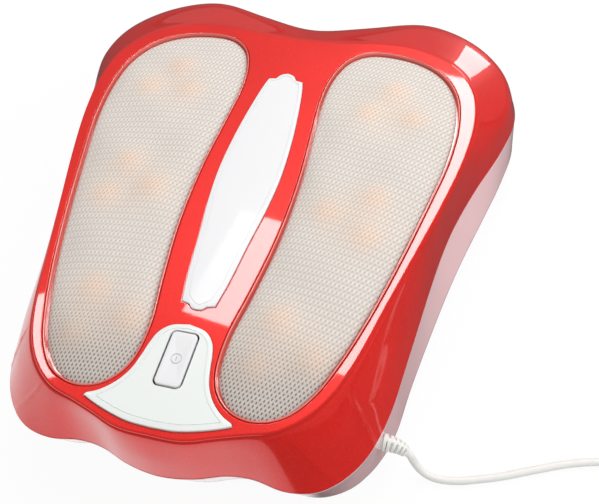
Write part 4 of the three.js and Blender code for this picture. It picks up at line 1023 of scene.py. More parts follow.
class MASSAGER_OT_housing(bpy.types.Operator):
    """Builds the upper and the lower housing"""
    bl_idname = "massager.housing"
    bl_label = "Housing"

    def execute(self, context):
        red = pearl_red()
        dress(top_housing(), "base", red, "shell", "top_shell")
        dress(screw_posts(), "base", red, "shell")
        rose = plastic("Pearl rose", tuple(context.scene.massager_housing.lower_colour), (0.88, 0.58, 0.60),
                       roughness=0.3, coat=1.0, coat_roughness=0.04, grain=0.01)
        dress(bottom_housing(), "base", rose, "trim", "bottom_shell")
        return {"FINISHED"}


# Windows

def bezel_ring(side):
    """Frame round a window: a slim bead that rises a little over the deck, an upright inner wall
    and a ledge for the cloth. The bead is half an ellipse."""
    loop = window_loop(side)
    turn = np.linspace(0, math.pi, 9)
    half = (BEZEL_OUT - BEZEL_IN) / 2
    bead = np.stack([half + half * np.cos(turn), BEZEL_RISE * np.sin(turn)], axis=1)
    bead += (BEZEL_IN, DECK_HEIGHT)
    profile = [*bead, (BEZEL_IN, DECK_HEIGHT - BEAD_DROP), (BEZEL_IN, LEDGE_TOP),
               (-LEDGE_REACH, LEDGE_TOP), (-LEDGE_REACH, LEDGE_BOTTOM), (BEZEL_OUT, LEDGE_BOTTOM)]
    rings = [ring_at(loop, out, height) for out, height in profile]
    return Skin().grid(rings + rings[:1]).make(f"bezel_{side}", crease=40)


def knob_places(side, end):
    """Middles of one head's knobs at rest, evenly round its axis."""
    angle = math.radians(KNOB_ANGLES[f"{side}_{end}"]) + np.arange(KNOBS) * 2 * math.pi / KNOBS
    around = np.stack([np.cos(angle), np.sin(angle)], axis=1)
    return node_middle(f"lamp_{side}_{end}") + KNOB_ORBIT * around


def weave_map(flat, side):
    """Phases of the two thread families at flat places. The cloth fans out a little towards the
    back: across and along are the angle and the logarithm of the distance from a far apex, and
    each phase is their mix along one family's normal, over the pitch."""
    settings = bpy.context.scene.massager_cloth
    reach, pitch = settings.fan_reach / MM, settings.pitch / MM
    x, y = flat[..., 0], flat[..., 1] + reach
    across = reach * np.arctan2(x, y)
    along = reach * 0.5 * np.log((x * x + y * y) / reach**2)
    turn = math.pi / 2 + math.radians(WEAVE_TURNS[side])
    phases = []
    for sign in (1, -1):
        normal = turn + sign * (math.pi / 2 - settings.thread_angle / 2)
        phases.append((across * math.cos(normal) + along * math.sin(normal)) / pitch)
    return np.stack(phases, axis=-1)


def cloth_cover(side):
    """Taut cloth over a window: rings drawn in towards the middle, with height
    crown (1 - share^4) plus a soft rise exp(-(d / reach)^2) over each knob and slow waves, the
    product of two sines."""
    settings = bpy.context.scene.massager_cloth
    crown, rise, reach, wave = (getattr(settings, key) / MM for key in ("crown", "rise", "reach", "wave"))
    loop = offset_loop(window_loop(side), -CLOTH_INSET)
    middle = np.array(WINDOW_PLACE) * (1 if side == "right" else -1, 1)
    share = CLOTH_RING_SHARES[:, None]
    flat = middle + (loop - middle)[None] * share[..., None]
    height = CLOTH_SEAT + crown * (1 - share**DOME_POWER) + EDGE_RISE * (1 - share**EDGE_POWER)
    knobs = np.array([knob_places(side, end) for end in ENDS])
    apart = np.linalg.norm(flat[:, :, None] - knobs.reshape(-1, 2), axis=-1)
    near = np.exp(-((apart / reach) ** 2)).max(axis=-1)
    sines = [np.sin(flat[..., 0] / across + flat[..., 1] / along) for across, along in WAVE_RUNS]
    waves = np.prod(sines, axis=0)
    height = height + (rise * near + wave * waves) * np.minimum(1, (1 - share) / EDGE_FADE_SHARE)
    upper = np.concatenate([flat, (height + CLOTH_THICKNESS)[..., None]], axis=-1)
    lower = np.concatenate([flat, height[..., None]], axis=-1)
    piece = Skin().grid(np.concatenate([lower[::-1], upper])).make(f"mesh_cloth_{side}", crease=70)
    paint_cloth(piece.data, side, knobs)
    area = 0.5 * abs(np.sum(loop[:, 0] * np.roll(loop[:, 1], -1) - loop[:, 1] * np.roll(loop[:, 0], -1)))
    return piece, np.ptp(loop, axis=0), area


def paint_cloth(mesh, side, knobs):
    """Gives a cloth its painted glow, a sum of share exp(-(d / reach)^2) for the nearest knob and for the
    nearest lamp, its openness, which grows as 3 s^2 - 2 s^3 towards the front and also sets how much
    painted shade lies there, and the weave's phases."""
    spots = mesh_points(mesh)[:, :2]
    painted_glow = 0
    for sources, share, reach in ((knobs.reshape(-1, 2), KNOB_LIGHT_SHARE, KNOB_LIGHT_REACH),
                                  (knobs.mean(axis=1), LAMP_LIGHT_SHARE, LAMP_LIGHT_REACH)):
        away = np.linalg.norm(spots[:, None] - sources, axis=-1).min(axis=1)
        painted_glow = painted_glow + share * np.exp(-((away / reach) ** 2))
    front = np.clip((OPENING_Y - spots[:, 1]) / OPENING_RUN, 0, 1)
    add_values(mesh, "painted_glow", np.clip(painted_glow, 0, 1))
    add_values(mesh, "openness", front * front * (3 - 2 * front))
    loops = np.empty(len(mesh.loops), np.int32)
    mesh.loops.foreach_get("vertex_index", loops)
    layer = mesh.uv_layers.new(name="weave")
    layer.uv.foreach_set("vector", weave_map(spots, side)[loops].astype(np.float32).ravel())


class MASSAGER_OT_windows(bpy.types.Operator):
    """Builds the frames round the two foot windows and the taut cloth in them"""
    bl_idname = "massager.windows"
    bl_label = "Windows"

    def execute(self, context):
        trim = plastic("Pale red trim", (0.80, 0.16, 0.13), (0.74, 0.12, 0.10), roughness=0.18, coat=1.0)
        for side in SIDES:
            ring = dress(bezel_ring(side), "base", trim, "trim", f"window_bezel_{side}")
            cloth, size, area = cloth_cover(side)
            dress(cloth, "base", mesh_cloth(), "cloth", f"mesh_cover_{side}")
        return {"FINISHED"}


# Plate, panel and switch

def inner_line(loop, distance):
    """Outline at a distance inside a loop, without the points that come nearer to the loop where
    it turns sharply, and with its corners rounded by repeated averages of neighbours."""
    inside = offset_loop(loop, -distance)
    apart = np.linalg.norm(inside[:, None] - loop[None], axis=-1).min(axis=1)
    line = inside[apart > LINE_KEEP_SHARE * distance]
    for _ in range(LINE_ROUNDS):
        line = (np.roll(line, 1, axis=0) + 2 * line + np.roll(line, -1, axis=0)) / 4
    return line


def plate_with_line(name, loop, low, high, holes=(), line=2.4, width=0.9, depth=0.3, rounding=0.35):
    """Thin plate with a rounded edge and a fine engraved line that follows its outline at a
    distance, and whose sides slope by a slant."""
    skin = Skin()
    top_edge = rounded_edge(loop, rounding, high, 4)[::-1]
    skin.grid([at_height(loop, low), *top_edge])
    outer = inner_line(loop, line)
    steps = [(0, 0), (LINE_SLANT, -depth), (width, -depth), (width + LINE_SLANT, 0)]
    groove = [ring_at(outer, -inward, high + down) for inward, down in steps]
    skin.grid(groove)
    skin.fill([top_edge[-1][:, :2], outer], high)
    skin.fill([groove[-1][:, :2], *holes], high)
    skin.fill([loop, *holes], low)
    for hole in holes:
        skin.grid([at_height(hole, high), at_height(hole, low)])
    return skin.make(name, crease=35)


def switch_button():
    """Rounded push button: skirt, rounded edge and a shallow thumb dish, high - dish (1 - s^2)^2
    at share s from its middle to its edge."""
    low, high = node_box("power_button")
    loop = button_loop(-SWITCH_SLIM)
    top = high[2] - SWITCH_DROP
    inner = offset_loop(loop, -DISH_INSET)
    middle = np.array([0, BUTTON_Y])
    dish = [at_height(middle + (inner - middle) * s, top - DISH_DEPTH * (1 - s**2) ** 2)
            for s in np.linspace(1, 0, 21)]
    roof = ring_at(loop, -SWITCH_WALL, top - SWITCH_ROOF)
    rings = [roof, ring_at(loop, -SWITCH_WALL, low[2]), at_height(loop, low[2])]
    skin = Skin().grid([*rings, *rounded_edge(loop, SWITCH_ROUND, top)[::-1], *dish])
    return skin.fill([roof[:, :2]], top - SWITCH_ROOF).make("switch_button", crease=40)


def switch_mark():
    """Ring with an upright bar inside it, standing a little out of the button's dish."""
    top = node_box("power_button")[1][2] - SWITCH_DROP
    low, high = top - MARK_FOOT, top - MARK_DROP
    skin = Skin().revolve(square_section(*MARK_RADII, low, high), (0, BUTTON_Y, 0), 40)
    bar = rounded_loop(*MARK_BAR, BAR_CORNER, (0, BUTTON_Y), 4)
    bar_top = high - BAR_DROP
    skin.grid([at_height(bar, low), at_height(bar, bar_top)]).fill([bar], low).fill([bar], bar_top)
    return skin.make("switch_mark")


class MASSAGER_OT_controls(bpy.types.Operator):
    """Builds the long plate, the control panel and the push button"""
    bl_idname = "massager.controls"
    bl_label = "Plate, panel and switch"

    def execute(self, context):
        white = plastic("White lacquer", (0.77, 0.77, 0.78), (0.75, 0.75, 0.76), roughness=0.4, coat=0.15)
        silver = plastic("Silver white lacquer", (0.79, 0.82, 0.80), (0.76, 0.79, 0.77), roughness=0.4,
                         coat=0.3, grain=0.04)
        low, high = node_box("name_plate")
        plate = plate_with_line("long_plate", plate_loop(), low[2], high[2])
        dress(plate, "base", white, "white", "name_plate")
        low, high = node_box("control_panel")
        hole = button_loop(BUTTON_GAP + PANEL_HOLE_PLAY)
        panel = plate_with_line("bell_panel", panel_loop(), low[2], high[2], [hole])
        dress(panel, "base", silver, "silver", "control_panel")
        dress(switch_button(), "button", white, "white", "power_button")
        grey = plastic("Grey mark", (0.50, 0.51, 0.53), (0.46, 0.47, 0.49), roughness=0.45)
        dress(switch_mark(), "button", grey, "silver")
        return {"FINISHED"}


# Heads and drive

def gear_loop(teeth, per_tooth=12):
    """Anticlockwise gear outline: radius swings between root and tip with steep rounded flanks,
    pitch + depth * tanh(k cos(teeth * angle) - slimness) about the pitch circle."""
    angle = np.linspace(0, 2 * math.pi, teeth * per_tooth, endpoint=False)
    swing = np.tanh(FLANK_STEEPNESS * np.cos(teeth * angle) - TOOTH_SLIMNESS)
    radius = TOOTH_MODULE * (teeth / 2 - TOOTH_SINK_SHARE + TOOTH_DEPTH_SHARE * swing)
    return np.stack([radius * np.cos(angle), radius * np.sin(angle)], axis=1)


def gear_piece(name, node_name, teeth, bore):
    """Moulded gear with chamfered teeth, a thinner web and a hub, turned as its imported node. Its
    rings are circles of a radius, or the teeth's outline moved out by a distance."""
    low, high = (corner[2] for corner in node_box(node_name))
    middle = node_middle(node_name)
    turn = packed_turn(node_name, middle, teeth)
    teeth_loop = gear_loop(teeth)
    rim, hub = TOOTH_MODULE * (teeth / 2 - RIM_DEPTH_SHARE), bore + HUB_WALL
    web_radii = (hub + WEB_DRAFT, rim - WEB_DRAFT)
    circles = [(bore, 0), (hub, 0), *((radius, WEB_RECESS) for radius in web_radii), (rim, 0)]
    loops = [(circle_loop(radius, count=len(teeth_loop)), depth) for radius, depth in circles]
    loops += [(offset_loop(teeth_loop, -TOOTH_CHAMFER), 0), (teeth_loop, CHAMFER_RISE)]
    under = [at_height(loop, low + depth) for loop, depth in loops]
    over = [at_height(loop, high - depth) for loop, depth in loops[::-1]]
    rings = np.array([*under, *over, under[0]])
    spin = np.array([[math.cos(turn), math.sin(turn)], [-math.sin(turn), math.cos(turn)]])
    rings[..., :2] = rings[..., :2] @ spin + middle
    return Skin().grid(rings).make(name, crease=30)


def packed_turn(node_name, middle, teeth):
    """Angle of the first tooth of a packed gear: the phase of its tip points' angles."""
    points = mesh_points(frame["nodes"][node_name].data)[:, :2] - middle
    radius = np.linalg.norm(points, axis=1)
    tips = points[radius > radius.max() - CHAMFER_RISE]
    angle = np.arctan2(tips[:, 1], tips[:, 0])
    return float(np.angle(np.exp(1j * teeth * angle).sum())) / teeth


def knob_cap(side, end):
    """Ring plate with three round-topped knobs: each knob is a revolved profile with a flared
    foot, an upright side and a half-ball top, and its glow grows with height."""
    middle = node_middle(f"lamp_{side}_{end}")
    edge = KNOB_ORBIT + KNOB_RADIUS
    plate = [(CAP_BORE, 0), (edge - CAP_CHAMFER, 0), (edge, CAP_CHAMFER), (edge, CAP_THICKNESS - CAP_ROUND),
             (edge - CAP_ROUND, CAP_THICKNESS), (CAP_BORE + CAP_CHAMFER, CAP_THICKNESS),
             (CAP_BORE, CAP_THICKNESS - CAP_CHAMFER), (CAP_BORE, 0)]
    skin = Skin().revolve(plate, (*middle, CAP_BOTTOM), 96)
    knob = [*KNOB_FOOT, *quarter_ball(KNOB_RADIUS, KNOB_HEIGHT - KNOB_RADIUS, 15)]
    for spot in knob_places(side, end):
        skin.revolve(knob, (*spot, CAP_BOTTOM), 40)
    piece = skin.make(f"knob_cap_{side}_{end}", crease=40)
    height = mesh_points(piece.data)[:, 2] - CAP_BOTTOM
    add_values(piece.data, "glow", np.clip((height - GLOW_START) / (KNOB_HEIGHT - GLOW_START), 0, 1) ** 2)
    return piece


def quarter_ball(radius, middle, count):
    """Profile of a half ball's top, as radius and height: (radius cos t, middle + radius sin t)."""
    arc = np.linspace(0, math.pi / 2, count)
    return np.stack([radius * np.cos(arc), middle + radius * np.sin(arc)], axis=1)


def lamp_bulb(side, end):
    """Lamp: a flanged base and a round bulb, revolved about its upright axis."""
    node_name = f"lamp_{side}_{end}"
    place = (*node_middle(node_name), node_box(node_name)[0][2])
    profile = [*LAMP_BASE, *quarter_ball(BULB_RADIUS, BULB_RADIUS, 12)]
    return Skin().revolve(profile, place, 48).make(f"bulb_{side}_{end}", crease=40)


class MASSAGER_OT_heads(bpy.types.Operator):
    """Builds the six turning heads with their lamps and wheels"""
    bl_idname = "massager.heads"
    bl_label = "Turning heads"

    def execute(self, context):
        amber = glowing_amber()
        nylon = plastic("Natural nylon", (0.86, 0.84, 0.78), (0.80, 0.78, 0.71), roughness=0.5, grain=0.05)
        lamp = plastic("Frosted lamp", (1.0, 0.72, 0.48), (1.0, 0.66, 0.40), roughness=0.3,
                       Emission_Color=(1.0, 0.55, 0.28, 1), Emission_Strength=1.2)
        for side in SIDES:
            for end in ENDS:
                name = f"{side}_{end}"
                dress(knob_cap(side, end), f"head_{name}", amber, "amber", f"head_knobs_{name}")
                wheel = gear_piece(f"wheel_{name}", f"head_wheel_{name}", WHEEL_TEETH, HEAD_BORE)
                dress(wheel, f"head_{name}", nylon, "nylon", f"head_wheel_{name}")
                dress(lamp_bulb(side, end), "base", lamp, "lamp", f"lamp_{name}")
        return {"FINISHED"}


class MASSAGER_OT_drive(bpy.types.Operator):
    """Builds the gears and gives the motor, the gearbox and the plates inside their finish"""
    bl_idname = "massager.drive"
    bl_label = "Drive"

    def execute(self, context):
        nylon = bpy.data.materials["Natural nylon"]
        for side in SIDES:
            for end in ("back", "front"):
                name = f"{side}_{end}"
                idler = gear_piece(f"idler_{name}", f"idler_gear_{name}", IDLER_TEETH, IDLER_BORE)
                dress(idler, f"idler_{name}", nylon, "nylon", f"idler_gear_{name}")
            transfer = gear_piece(f"transfer_{side}", f"transfer_gear_{side}", PINION_TEETH, IDLER_BORE)
            dress(transfer, f"transfer_{side}", nylon, "nylon", f"transfer_gear_{side}")
        black = plastic("Black moulding", (0.022, 0.023, 0.025), (0.03, 0.03, 0.032), roughness=0.55,
                        grain=0.2)
        steel = plastic("Plated steel", (0.62, 0.63, 0.65), (0.55, 0.56, 0.58), roughness=0.3,
                        metallic=1.0)
        board = plastic("Coated board", (0.03, 0.16, 0.06), (0.02, 0.12, 0.05), roughness=0.4, coat=0.3)
        finishes = {"chassis": black, "steel": steel, "board": board, "nylon": nylon}
        for entry in frame["record"]["subparts"]:
            if entry["material_slot"] in finishes:
                materials = frame["nodes"][entry["node"]].data.materials
                materials.clear()
                materials.append(finishes[entry["material_slot"]])
        return {"FINISHED"}


# Screws and feet

def screw_with_recess(name, node_name, head_up):
    """Pan-head screw with a cross recess worked into its head: the head's height falls by a depth
    where either coordinate lies inside the cross."""
    low, high = node_box(node_name)
    radius = (high[0] - low[0]) / 2 * HEAD_GROWTH_SHARE
    sides = 48
    turn = np.linspace(0, 2 * math.pi, sides, endpoint=False)
    spread = np.linspace(0, 1, 13)[:, None]
    flat = radius * HEAD_FLAT_SHARE * spread[..., None] * np.stack([np.cos(turn), np.sin(turn)], axis=-1)
    arm, reach = np.abs(flat).min(axis=-1), np.abs(flat).max(axis=-1)
    cross = (np.clip((CROSS_HALF - arm) / CROSS_SLOPE, 0, 1)
             * np.clip((radius * CROSS_REACH_SHARE - reach) / CROSS_SLOPE, 0, 1))
    drop = HEAD_CROWN * spread**2 + CROSS_DEPTH * cross
    sign, top, end = (1, high[2], low[2]) if head_up else (-1, low[2], high[2])
    seat = top - sign * HEAD_HEIGHT
    head = np.concatenate([flat, (top - sign * drop)[..., None]], axis=-1)
    shank = [(radius, top - sign * HEAD_EDGE), (radius, seat), (SHANK_RADIUS, seat),
             (SHANK_RADIUS, end + sign * TIP_LENGTH), (SHANK_TIP, end), (0, end)]
    rings = np.array([*head, *(at_height(circle_loop(r, count=sides), height) for r, height in shank)])
    return Skin().grid(rings + (*node_middle(node_name), 0)).make(name, crease=35)


class MASSAGER_OT_fasteners(bpy.types.Operator):
    """Builds the rubber feet and the case screws"""
    bl_idname = "massager.fasteners"
    bl_label = "Feet and screws"

    def execute(self, context):
        rubber = plastic("Black rubber", (0.03, 0.03, 0.031), (0.045, 0.045, 0.045), roughness=0.75,
                         grain=0.3)
        steel = bpy.data.materials["Plated steel"]
        for place in ("right_front", "right_back", "left_front", "left_back"):
            middle = (*node_middle(f"rubber_foot_{place}"), 0)
            foot = Skin().revolve(FOOT_PROFILE, middle, 64).make(f"foot_{place}", crease=40)
            dress(foot, "base", rubber, "rubber", f"rubber_foot_{place}")
            screw = screw_with_recess(f"screw_{place}", f"case_screw_{place}", False)
            dress(screw, "base", steel, "steel", f"case_screw_{place}")
            inner = screw_with_recess(f"plate_screw_{place}", f"chassis_screw_{place}", True)
            dress(inner, "base", steel, "steel", f"chassis_screw_{place}")
        return {"FINISHED"}


# Lead

def boot_line(share):
    """Middle line of the boot: it bulges by a parabola share (1 - share) along X and falls with the
    square of the share."""
    share = np.asarray(share, float)
    x = ENTRY[0] + CLEARANCE + BOOT_RUN * share + CORD_DIAMETER * share * (1 - share)
    return np.stack([x, np.full_like(share, ENTRY[1]), ENTRY[2] - BOOT_DROP * share**2], axis=-1)


def coil_line():
    """Lead wound in two layers: the radius falls a pitch a turn, stays while it climbs a layer in
    half a turn, and grows again."""
    steps = 64
    turns = np.arange(round(COIL_TURNS * steps) + 1) / steps
    layer = (COIL_TURNS - CLIMB_TURNS) / 2
    climbed = np.clip((turns - layer) / CLIMB_TURNS, 0, 1)
    wound = np.minimum(turns, layer) - np.maximum(turns - layer - CLIMB_TURNS, 0)
    radius = COIL_RADIUS - COIL_PITCH * wound
    angle = 2 * math.pi * turns - math.pi / 2
    middle = np.array(LEAD_ROUTE[-1]) + (CLEARANCE + CORD_DIAMETER, COIL_RADIUS, 0)
    height = CORD_DIAMETER / 2 + LAYER_PITCH * climbed
    flat = middle[:2] + np.stack([radius * np.cos(angle), radius * np.sin(angle)], axis=-1)
    return np.column_stack([flat, height])


def lead_line():
    """Whole middle line of the lead from the boot's tip to the plug. The tail's height follows
    3 s^2 - 2 s^3 from the coil's top to the plug's middle."""
    tip = boot_line(1.0)
    heading = tip - boot_line(1 - 1 / 16)
    heading /= np.linalg.norm(heading)
    start = tip + heading * CLEARANCE
    route = catmull_rom([start, start + heading * CORD_DIAMETER / 2, *LEAD_ROUTE], 12)
    coil = coil_line()
    last = coil[-1] + (0, CORD_DIAMETER, 0)
    shares = np.linspace(0, 1, 25)[1:]
    ramp = np.clip((shares - TAIL_RISE_SHARES[0]) / TAIL_RISE_SHARES[1], 0, 1)
    ramp = ramp * ramp * (3 - 2 * ramp)
    tail_start = last + (0, CLEARANCE, 0)
    tail = np.stack([np.full_like(shares, last[0]), tail_start[1] + TAIL_LENGTH * shares,
                     last[2] + (PLUG_THICKNESS / 2 - last[2]) * ramp], axis=-1)
    return np.concatenate([route, coil[1:], [last, tail_start], tail])


def ribbed_boot():
    """Strain relief: a collar in the wall and a tapering boot cut by two staggered ladders of
    slots. The radius is root + (tip - root) share, less a slot's depth where the slot's place along
    and round the boot both hold."""
    sides = 48
    shares = np.linspace(0, 1, 97)
    along, around = shares[:, None], np.cos(np.linspace(0, 2 * math.pi, sides, endpoint=False))
    slots = 0.5 + 0.5 * np.cos(2 * math.pi * (along * BOOT_SLOTS + 0.5 * (around > 0)))
    cut = (np.clip((slots - SLOT_SHARES[0]) / SLOT_SHARES[1], 0, 1)
           * np.clip((np.abs(around) - BRIDGE_SHARES[0]) / BRIDGE_SHARES[1], 0, 1))
    cut = cut * ((along > SLOTTED_SHARES[0]) & (along < SLOTTED_SHARES[1]))
    radius = RELIEF_ROOT + (RELIEF_TIP - RELIEF_ROOT) * along - SLOT_DEPTH * cut
    radius[[0, -1]] -= BOOT_ROUND
    depths, sizes = np.transpose(COLLAR)
    path = np.column_stack([ENTRY[0] + CLEARANCE - depths, np.full((len(depths), 2), ENTRY[1:])])
    skin = Skin().tube(path, sizes, sides)
    return skin.tube(boot_line(shares), radius, sides).make("ribbed_boot", crease=50)


def plug_shape(place):
    """Two-pin plug: an outline from its cord end to its face, drawn in by a quarter round at top and
    bottom, with finger grooves across its neck where cos(2 pi y / pitch) is above zero."""
    right = catmull_rom(np.array(PLUG_SHARES) * (PLUG_WIDTH / 2, PLUG_LENGTH), 8)
    outline = np.concatenate([right, right[::-1] * (-1, 1)])
    lower = [ring_at(outline, out - PLUG_ROUND, -down) for out, down in fillet(PLUG_ROUND, 8)]
    rings = np.array(lower + rounded_edge(outline, PLUG_ROUND, PLUG_THICKNESS, 8)[::-1])
    along = rings[..., 1]
    gripped = (along > GRIP_SPAN[0]) & (along < GRIP_SPAN[1])
    groove = GRIP_DEPTH * np.clip(np.cos(2 * math.pi * along / GRIP_PITCH), 0, 1) * gripped
    rings[..., 2] += np.where(rings[..., 2] > PLUG_THICKNESS / 2, -groove, groove)
    rings += place
    skin = Skin().grid(rings)
    for ring in (rings[0], rings[-1]):
        skin.fill([ring[:, :2]], ring[:, 2].mean())
    return skin.make("plug", crease=40)


def plug_pin(side):
    """Round pin of the plug with a half-ball end."""
    node_name = f"plug_pin_{side}"
    low, high = node_box(node_name)
    ball = quarter_ball(PIN_RADIUS, high[1] - PIN_RADIUS, 8)
    radii = np.concatenate([[PIN_RADIUS, PIN_RADIUS], ball[:-1, 0], [PIN_TIP]])
    spots = np.concatenate([[low[1], ball[0, 1] - PIN_STEP], ball[:, 1]])
    line = np.tile((low + high) / 2, (len(spots), 1))
    line[:, 1] = spots
    return Skin().tube(line, radii, 24).make(f"pin_{side}", crease=40)


class MASSAGER_OT_lead(bpy.types.Operator):
    """Builds the strain relief, the lead with its coil, the plug and its pins"""
    bl_idname = "massager.lead"
    bl_label = "Lead and plug"

    def execute(self, context):
        white = plastic("Off-white vinyl", (0.80, 0.80, 0.77), (0.76, 0.76, 0.73), roughness=0.42,
                        grain=0.05)
        boot = dress(ribbed_boot(), "base", white, "lead", "strain_relief")
        path = lead_line()
        cord = Skin().tube(path, np.full(len(path), CORD_DIAMETER / 2), 20).make("lead_cord", crease=60)
        dress(cord, "base", white, "lead", "lead_free", "lead_coil", "lead_tail")
        low = node_box("plug_body")[0]
        cord_end = (node_middle("plug_body")[0], low[1], 0)
        plug = dress(plug_shape(cord_end), "base", white, "lead", "plug_body")
        steel = bpy.data.materials["Plated steel"]
        pins = [dress(plug_pin(side), "base", steel, "steel", f"plug_pin_{side}") for side in SIDES]
        return {"FINISHED"}


# Stage

# White cards on the floor, as the walls mirror them: middle and half size in metres, and the share
# of that size over which the edge fades
CARDS = [((-0.36, -0.1), (0.24, 0.24), 0.1), ((-0.045, -0.36), (0.125, 0.19), 0.06)]

# Half the floor's width in metres, and how pale the floor is to the camera where it is shaded
FLOOR_REACH = 12.0
SHADOW_WHITE = 0.9

# Soft boxes in millimetres: name, place, the point that they are aimed at or else the angle that
# they hang turned by, size, and share of the key's power or of the strips'
SOFT_BOXES = [
    ("key", (900, 300, 850), (0, 0, 40), (800, 800), 1.0),
    ("front_fill", (-420, -950, 480), (0, -100, 40), (500, 500), 0.28),
    ("side_fill", (900, -420, 300), (120, -20, 30), (500, 400), 0.22),
    ("back_strip", (-430, 880, 1500), -8, (200, 420), 0.24),
    ("rim_strip", (50, 1250, 1500), -8, (250, 1350), 1.0),
    ("left_strip", (-945, 515, 1500), 30, (120, 300), 0.11),
    ("corner_strip", (455, 1590, 310), (127, 133, 75), (240, 330), 0.08),
]


def white_cards():
    """Share of plain white in reflections: one on the cards and zero beside them, where the
    larger of |x| / half width and |y| / half length is above one."""
    name = "White cards"
    if name in bpy.data.node_groups:
        return bpy.data.node_groups[name]
    tree, _, leave = group(name, [], [("White", "NodeSocketFloat")])
    place = tree.nodes.new("ShaderNodeTexCoord")
    apart = node(tree, "ShaderNodeSeparateXYZ", Vector=place.outputs["Object"])
    white = 0.0
    for middle, half, soft in CARDS:
        away = [math_node(tree, "ABSOLUTE", math_node(tree, "SUBTRACT", spot, at))
                for spot, at in zip(apart.outputs[:2], middle)]
        sides = [math_node(tree, "DIVIDE", distance, size) for distance, size in zip(away, half)]
        edge = node(tree, "ShaderNodeMapRange", {"interpolation_type": "SMOOTHSTEP"},
                    Value=math_node(tree, "MAXIMUM", *sides), From_Min=1 + soft, From_Max=1 - soft)
        white = math_node(tree, "MAXIMUM", edge.outputs[0], white)
    feed(tree, leave, White=white)
    return tree


class MASSAGER_OT_stage(bpy.types.Operator):
    """Sets the floor, the soft boxes, the world and the camera"""
    bl_idname = "massager.stage"
    bl_label = "Stage"

    def execute(self, context):
        settings = context.scene.massager_stage
        scene = context.scene
        scene.view_settings.view_transform = "Standard"
        floor_mesh = bpy.data.meshes.new("floor")
        corners = [(x * FLOOR_REACH, y * FLOOR_REACH, 0) for x, y in ((-1, -1), (1, -1), (1, 1), (-1, 1))]
        floor_mesh.from_pydata(corners, [], [(0, 1, 2, 3)])
        floor = bpy.data.objects.new("floor", floor_mesh)
        scene.collection.objects.link(floor)
        floor_mesh.materials.append(self.floor_material(settings))
        self.world(scene, settings)
        self.lights(scene, settings)
        self.camera(scene)
        return {"FINISHED"}

    def floor_material(self, settings):
        """Floor that is white to the camera and keeps the object's shadow, grey to the light that
        it gives back, and white in reflections where the cards lie."""
        material, tree, shader = new_material("Studio floor")
        tree.nodes.remove(shader)
        matt = node(tree, "ShaderNodeBsdfDiffuse")
        bright = node(tree, "ShaderNodeEmission", Color=(1, 1, 1, 1), Strength=1.0)
        path = tree.nodes.new("ShaderNodeLightPath")
        to_camera, to_gloss = path.outputs["Is Camera Ray"], path.outputs["Is Glossy Ray"]
        levels = (settings.floor_grey, settings.floor_mirrored, SHADOW_WHITE)
        grey, dark, pale = (opaque([level] * 3) for level in levels)
        colour = colour_mix(tree, to_gloss, grey, dark)
        feed(tree, matt, Color=colour_mix(tree, to_camera, colour, pale))
        camera = math_node(tree, "MULTIPLY", to_camera, settings.floor_white)
        gloss = math_node(tree, "MAXIMUM", to_gloss, path.outputs["Is Transmission Ray"])
        gloss = math_node(tree, "MULTIPLY", gloss, settings.floor_gloss)
        gloss = math_node(tree, "MULTIPLY", gloss, use_group(tree, white_cards()).outputs[0])
        mix = tree.nodes.new("ShaderNodeMixShader")
        sources = (math_node(tree, "MAXIMUM", camera, gloss), matt.outputs[0], bright.outputs[0])
        for socket, source in zip(mix.inputs, sources):
            tree.links.new(source, socket)
        feed(tree, tree.nodes["Material Output"], Surface=mix.outputs[0])
        return material

    def world(self, scene, settings):
        """Even grey world that the camera sees as white, and that the lacquer mirrors more dimly."""
        scene.world = bpy.data.worlds.new("Studio")
        scene.world.use_nodes = True
        tree = scene.world.node_tree
        path = tree.nodes.new("ShaderNodeLightPath")
        even, mirrored = settings.world_strength, settings.world_mirrored
        share = math_node(tree, "MULTIPLY_ADD", path.outputs["Is Camera Ray"], 1 - even, even)
        share = math_node(tree, "MULTIPLY_ADD", path.outputs["Is Glossy Ray"], mirrored - even, share)
        feed(tree, tree.nodes["Background"], Color=(1, 1, 1, 1), Strength=share)

    def lights(self, scene, settings):
        """Soft boxes, each aimed at a point, or hung level and turned by an angle. The key and the
        two fills aren't mirrored, and the strips are: their images lie on the deck and the corner."""
        watts = {"key": settings.key_watts, "strip": settings.strip_watts}
        for name, place, aim, size, share in SOFT_BOXES:
            strip = name.endswith("strip")
            data = bpy.data.lights.new(name, "AREA")
            data.shape = "RECTANGLE"
            data.size, data.size_y = size[0] * MM, size[1] * MM
            data.energy = share * watts["strip" if strip else "key"]
            lamp = bpy.data.objects.new(name, data)
            scene.collection.objects.link(lamp)
            lamp.visible_glossy = strip
            place = Vector(place) * MM
            if isinstance(aim, tuple):
                turn = (Vector(aim) * MM - place).to_track_quat("-Z", "Y").to_matrix().to_4x4()
            else:
                turn = Matrix.Rotation(math.radians(aim), 4, "Z")
            lamp.matrix_world = Matrix.Translation(place) @ turn

    def camera(self, scene):
        """Camera at the photograph's place, turn and focal length."""
        data = bpy.data.cameras.new("Camera")
        data.sensor_width = SENSOR_WIDTH
        data.lens = FOCAL_PIXELS / PHOTO_SIZE[0] * SENSOR_WIDTH
        data.clip_start, data.clip_end = CLIP_RANGE
        camera = bpy.data.objects.new("Camera", data)
        scene.collection.objects.link(camera)
        right, down, forward = (Vector(v) for v in (CAMERA_RIGHT, CAMERA_DOWN, CAMERA_FORWARD))
        turn = Matrix((right, -down, -forward)).transposed().to_4x4()
        camera.matrix_world = Matrix.Translation(Vector(CAMERA_PLACE) * MM) @ turn
        scene.camera = camera


# Settings, panel and registration

def colour_property(name, description, default):
    """Linear colour that a user can set."""
    return FloatVectorProperty(name=name, description=description, default=default, size=3,
                               subtype="COLOR", min=0, max=1)


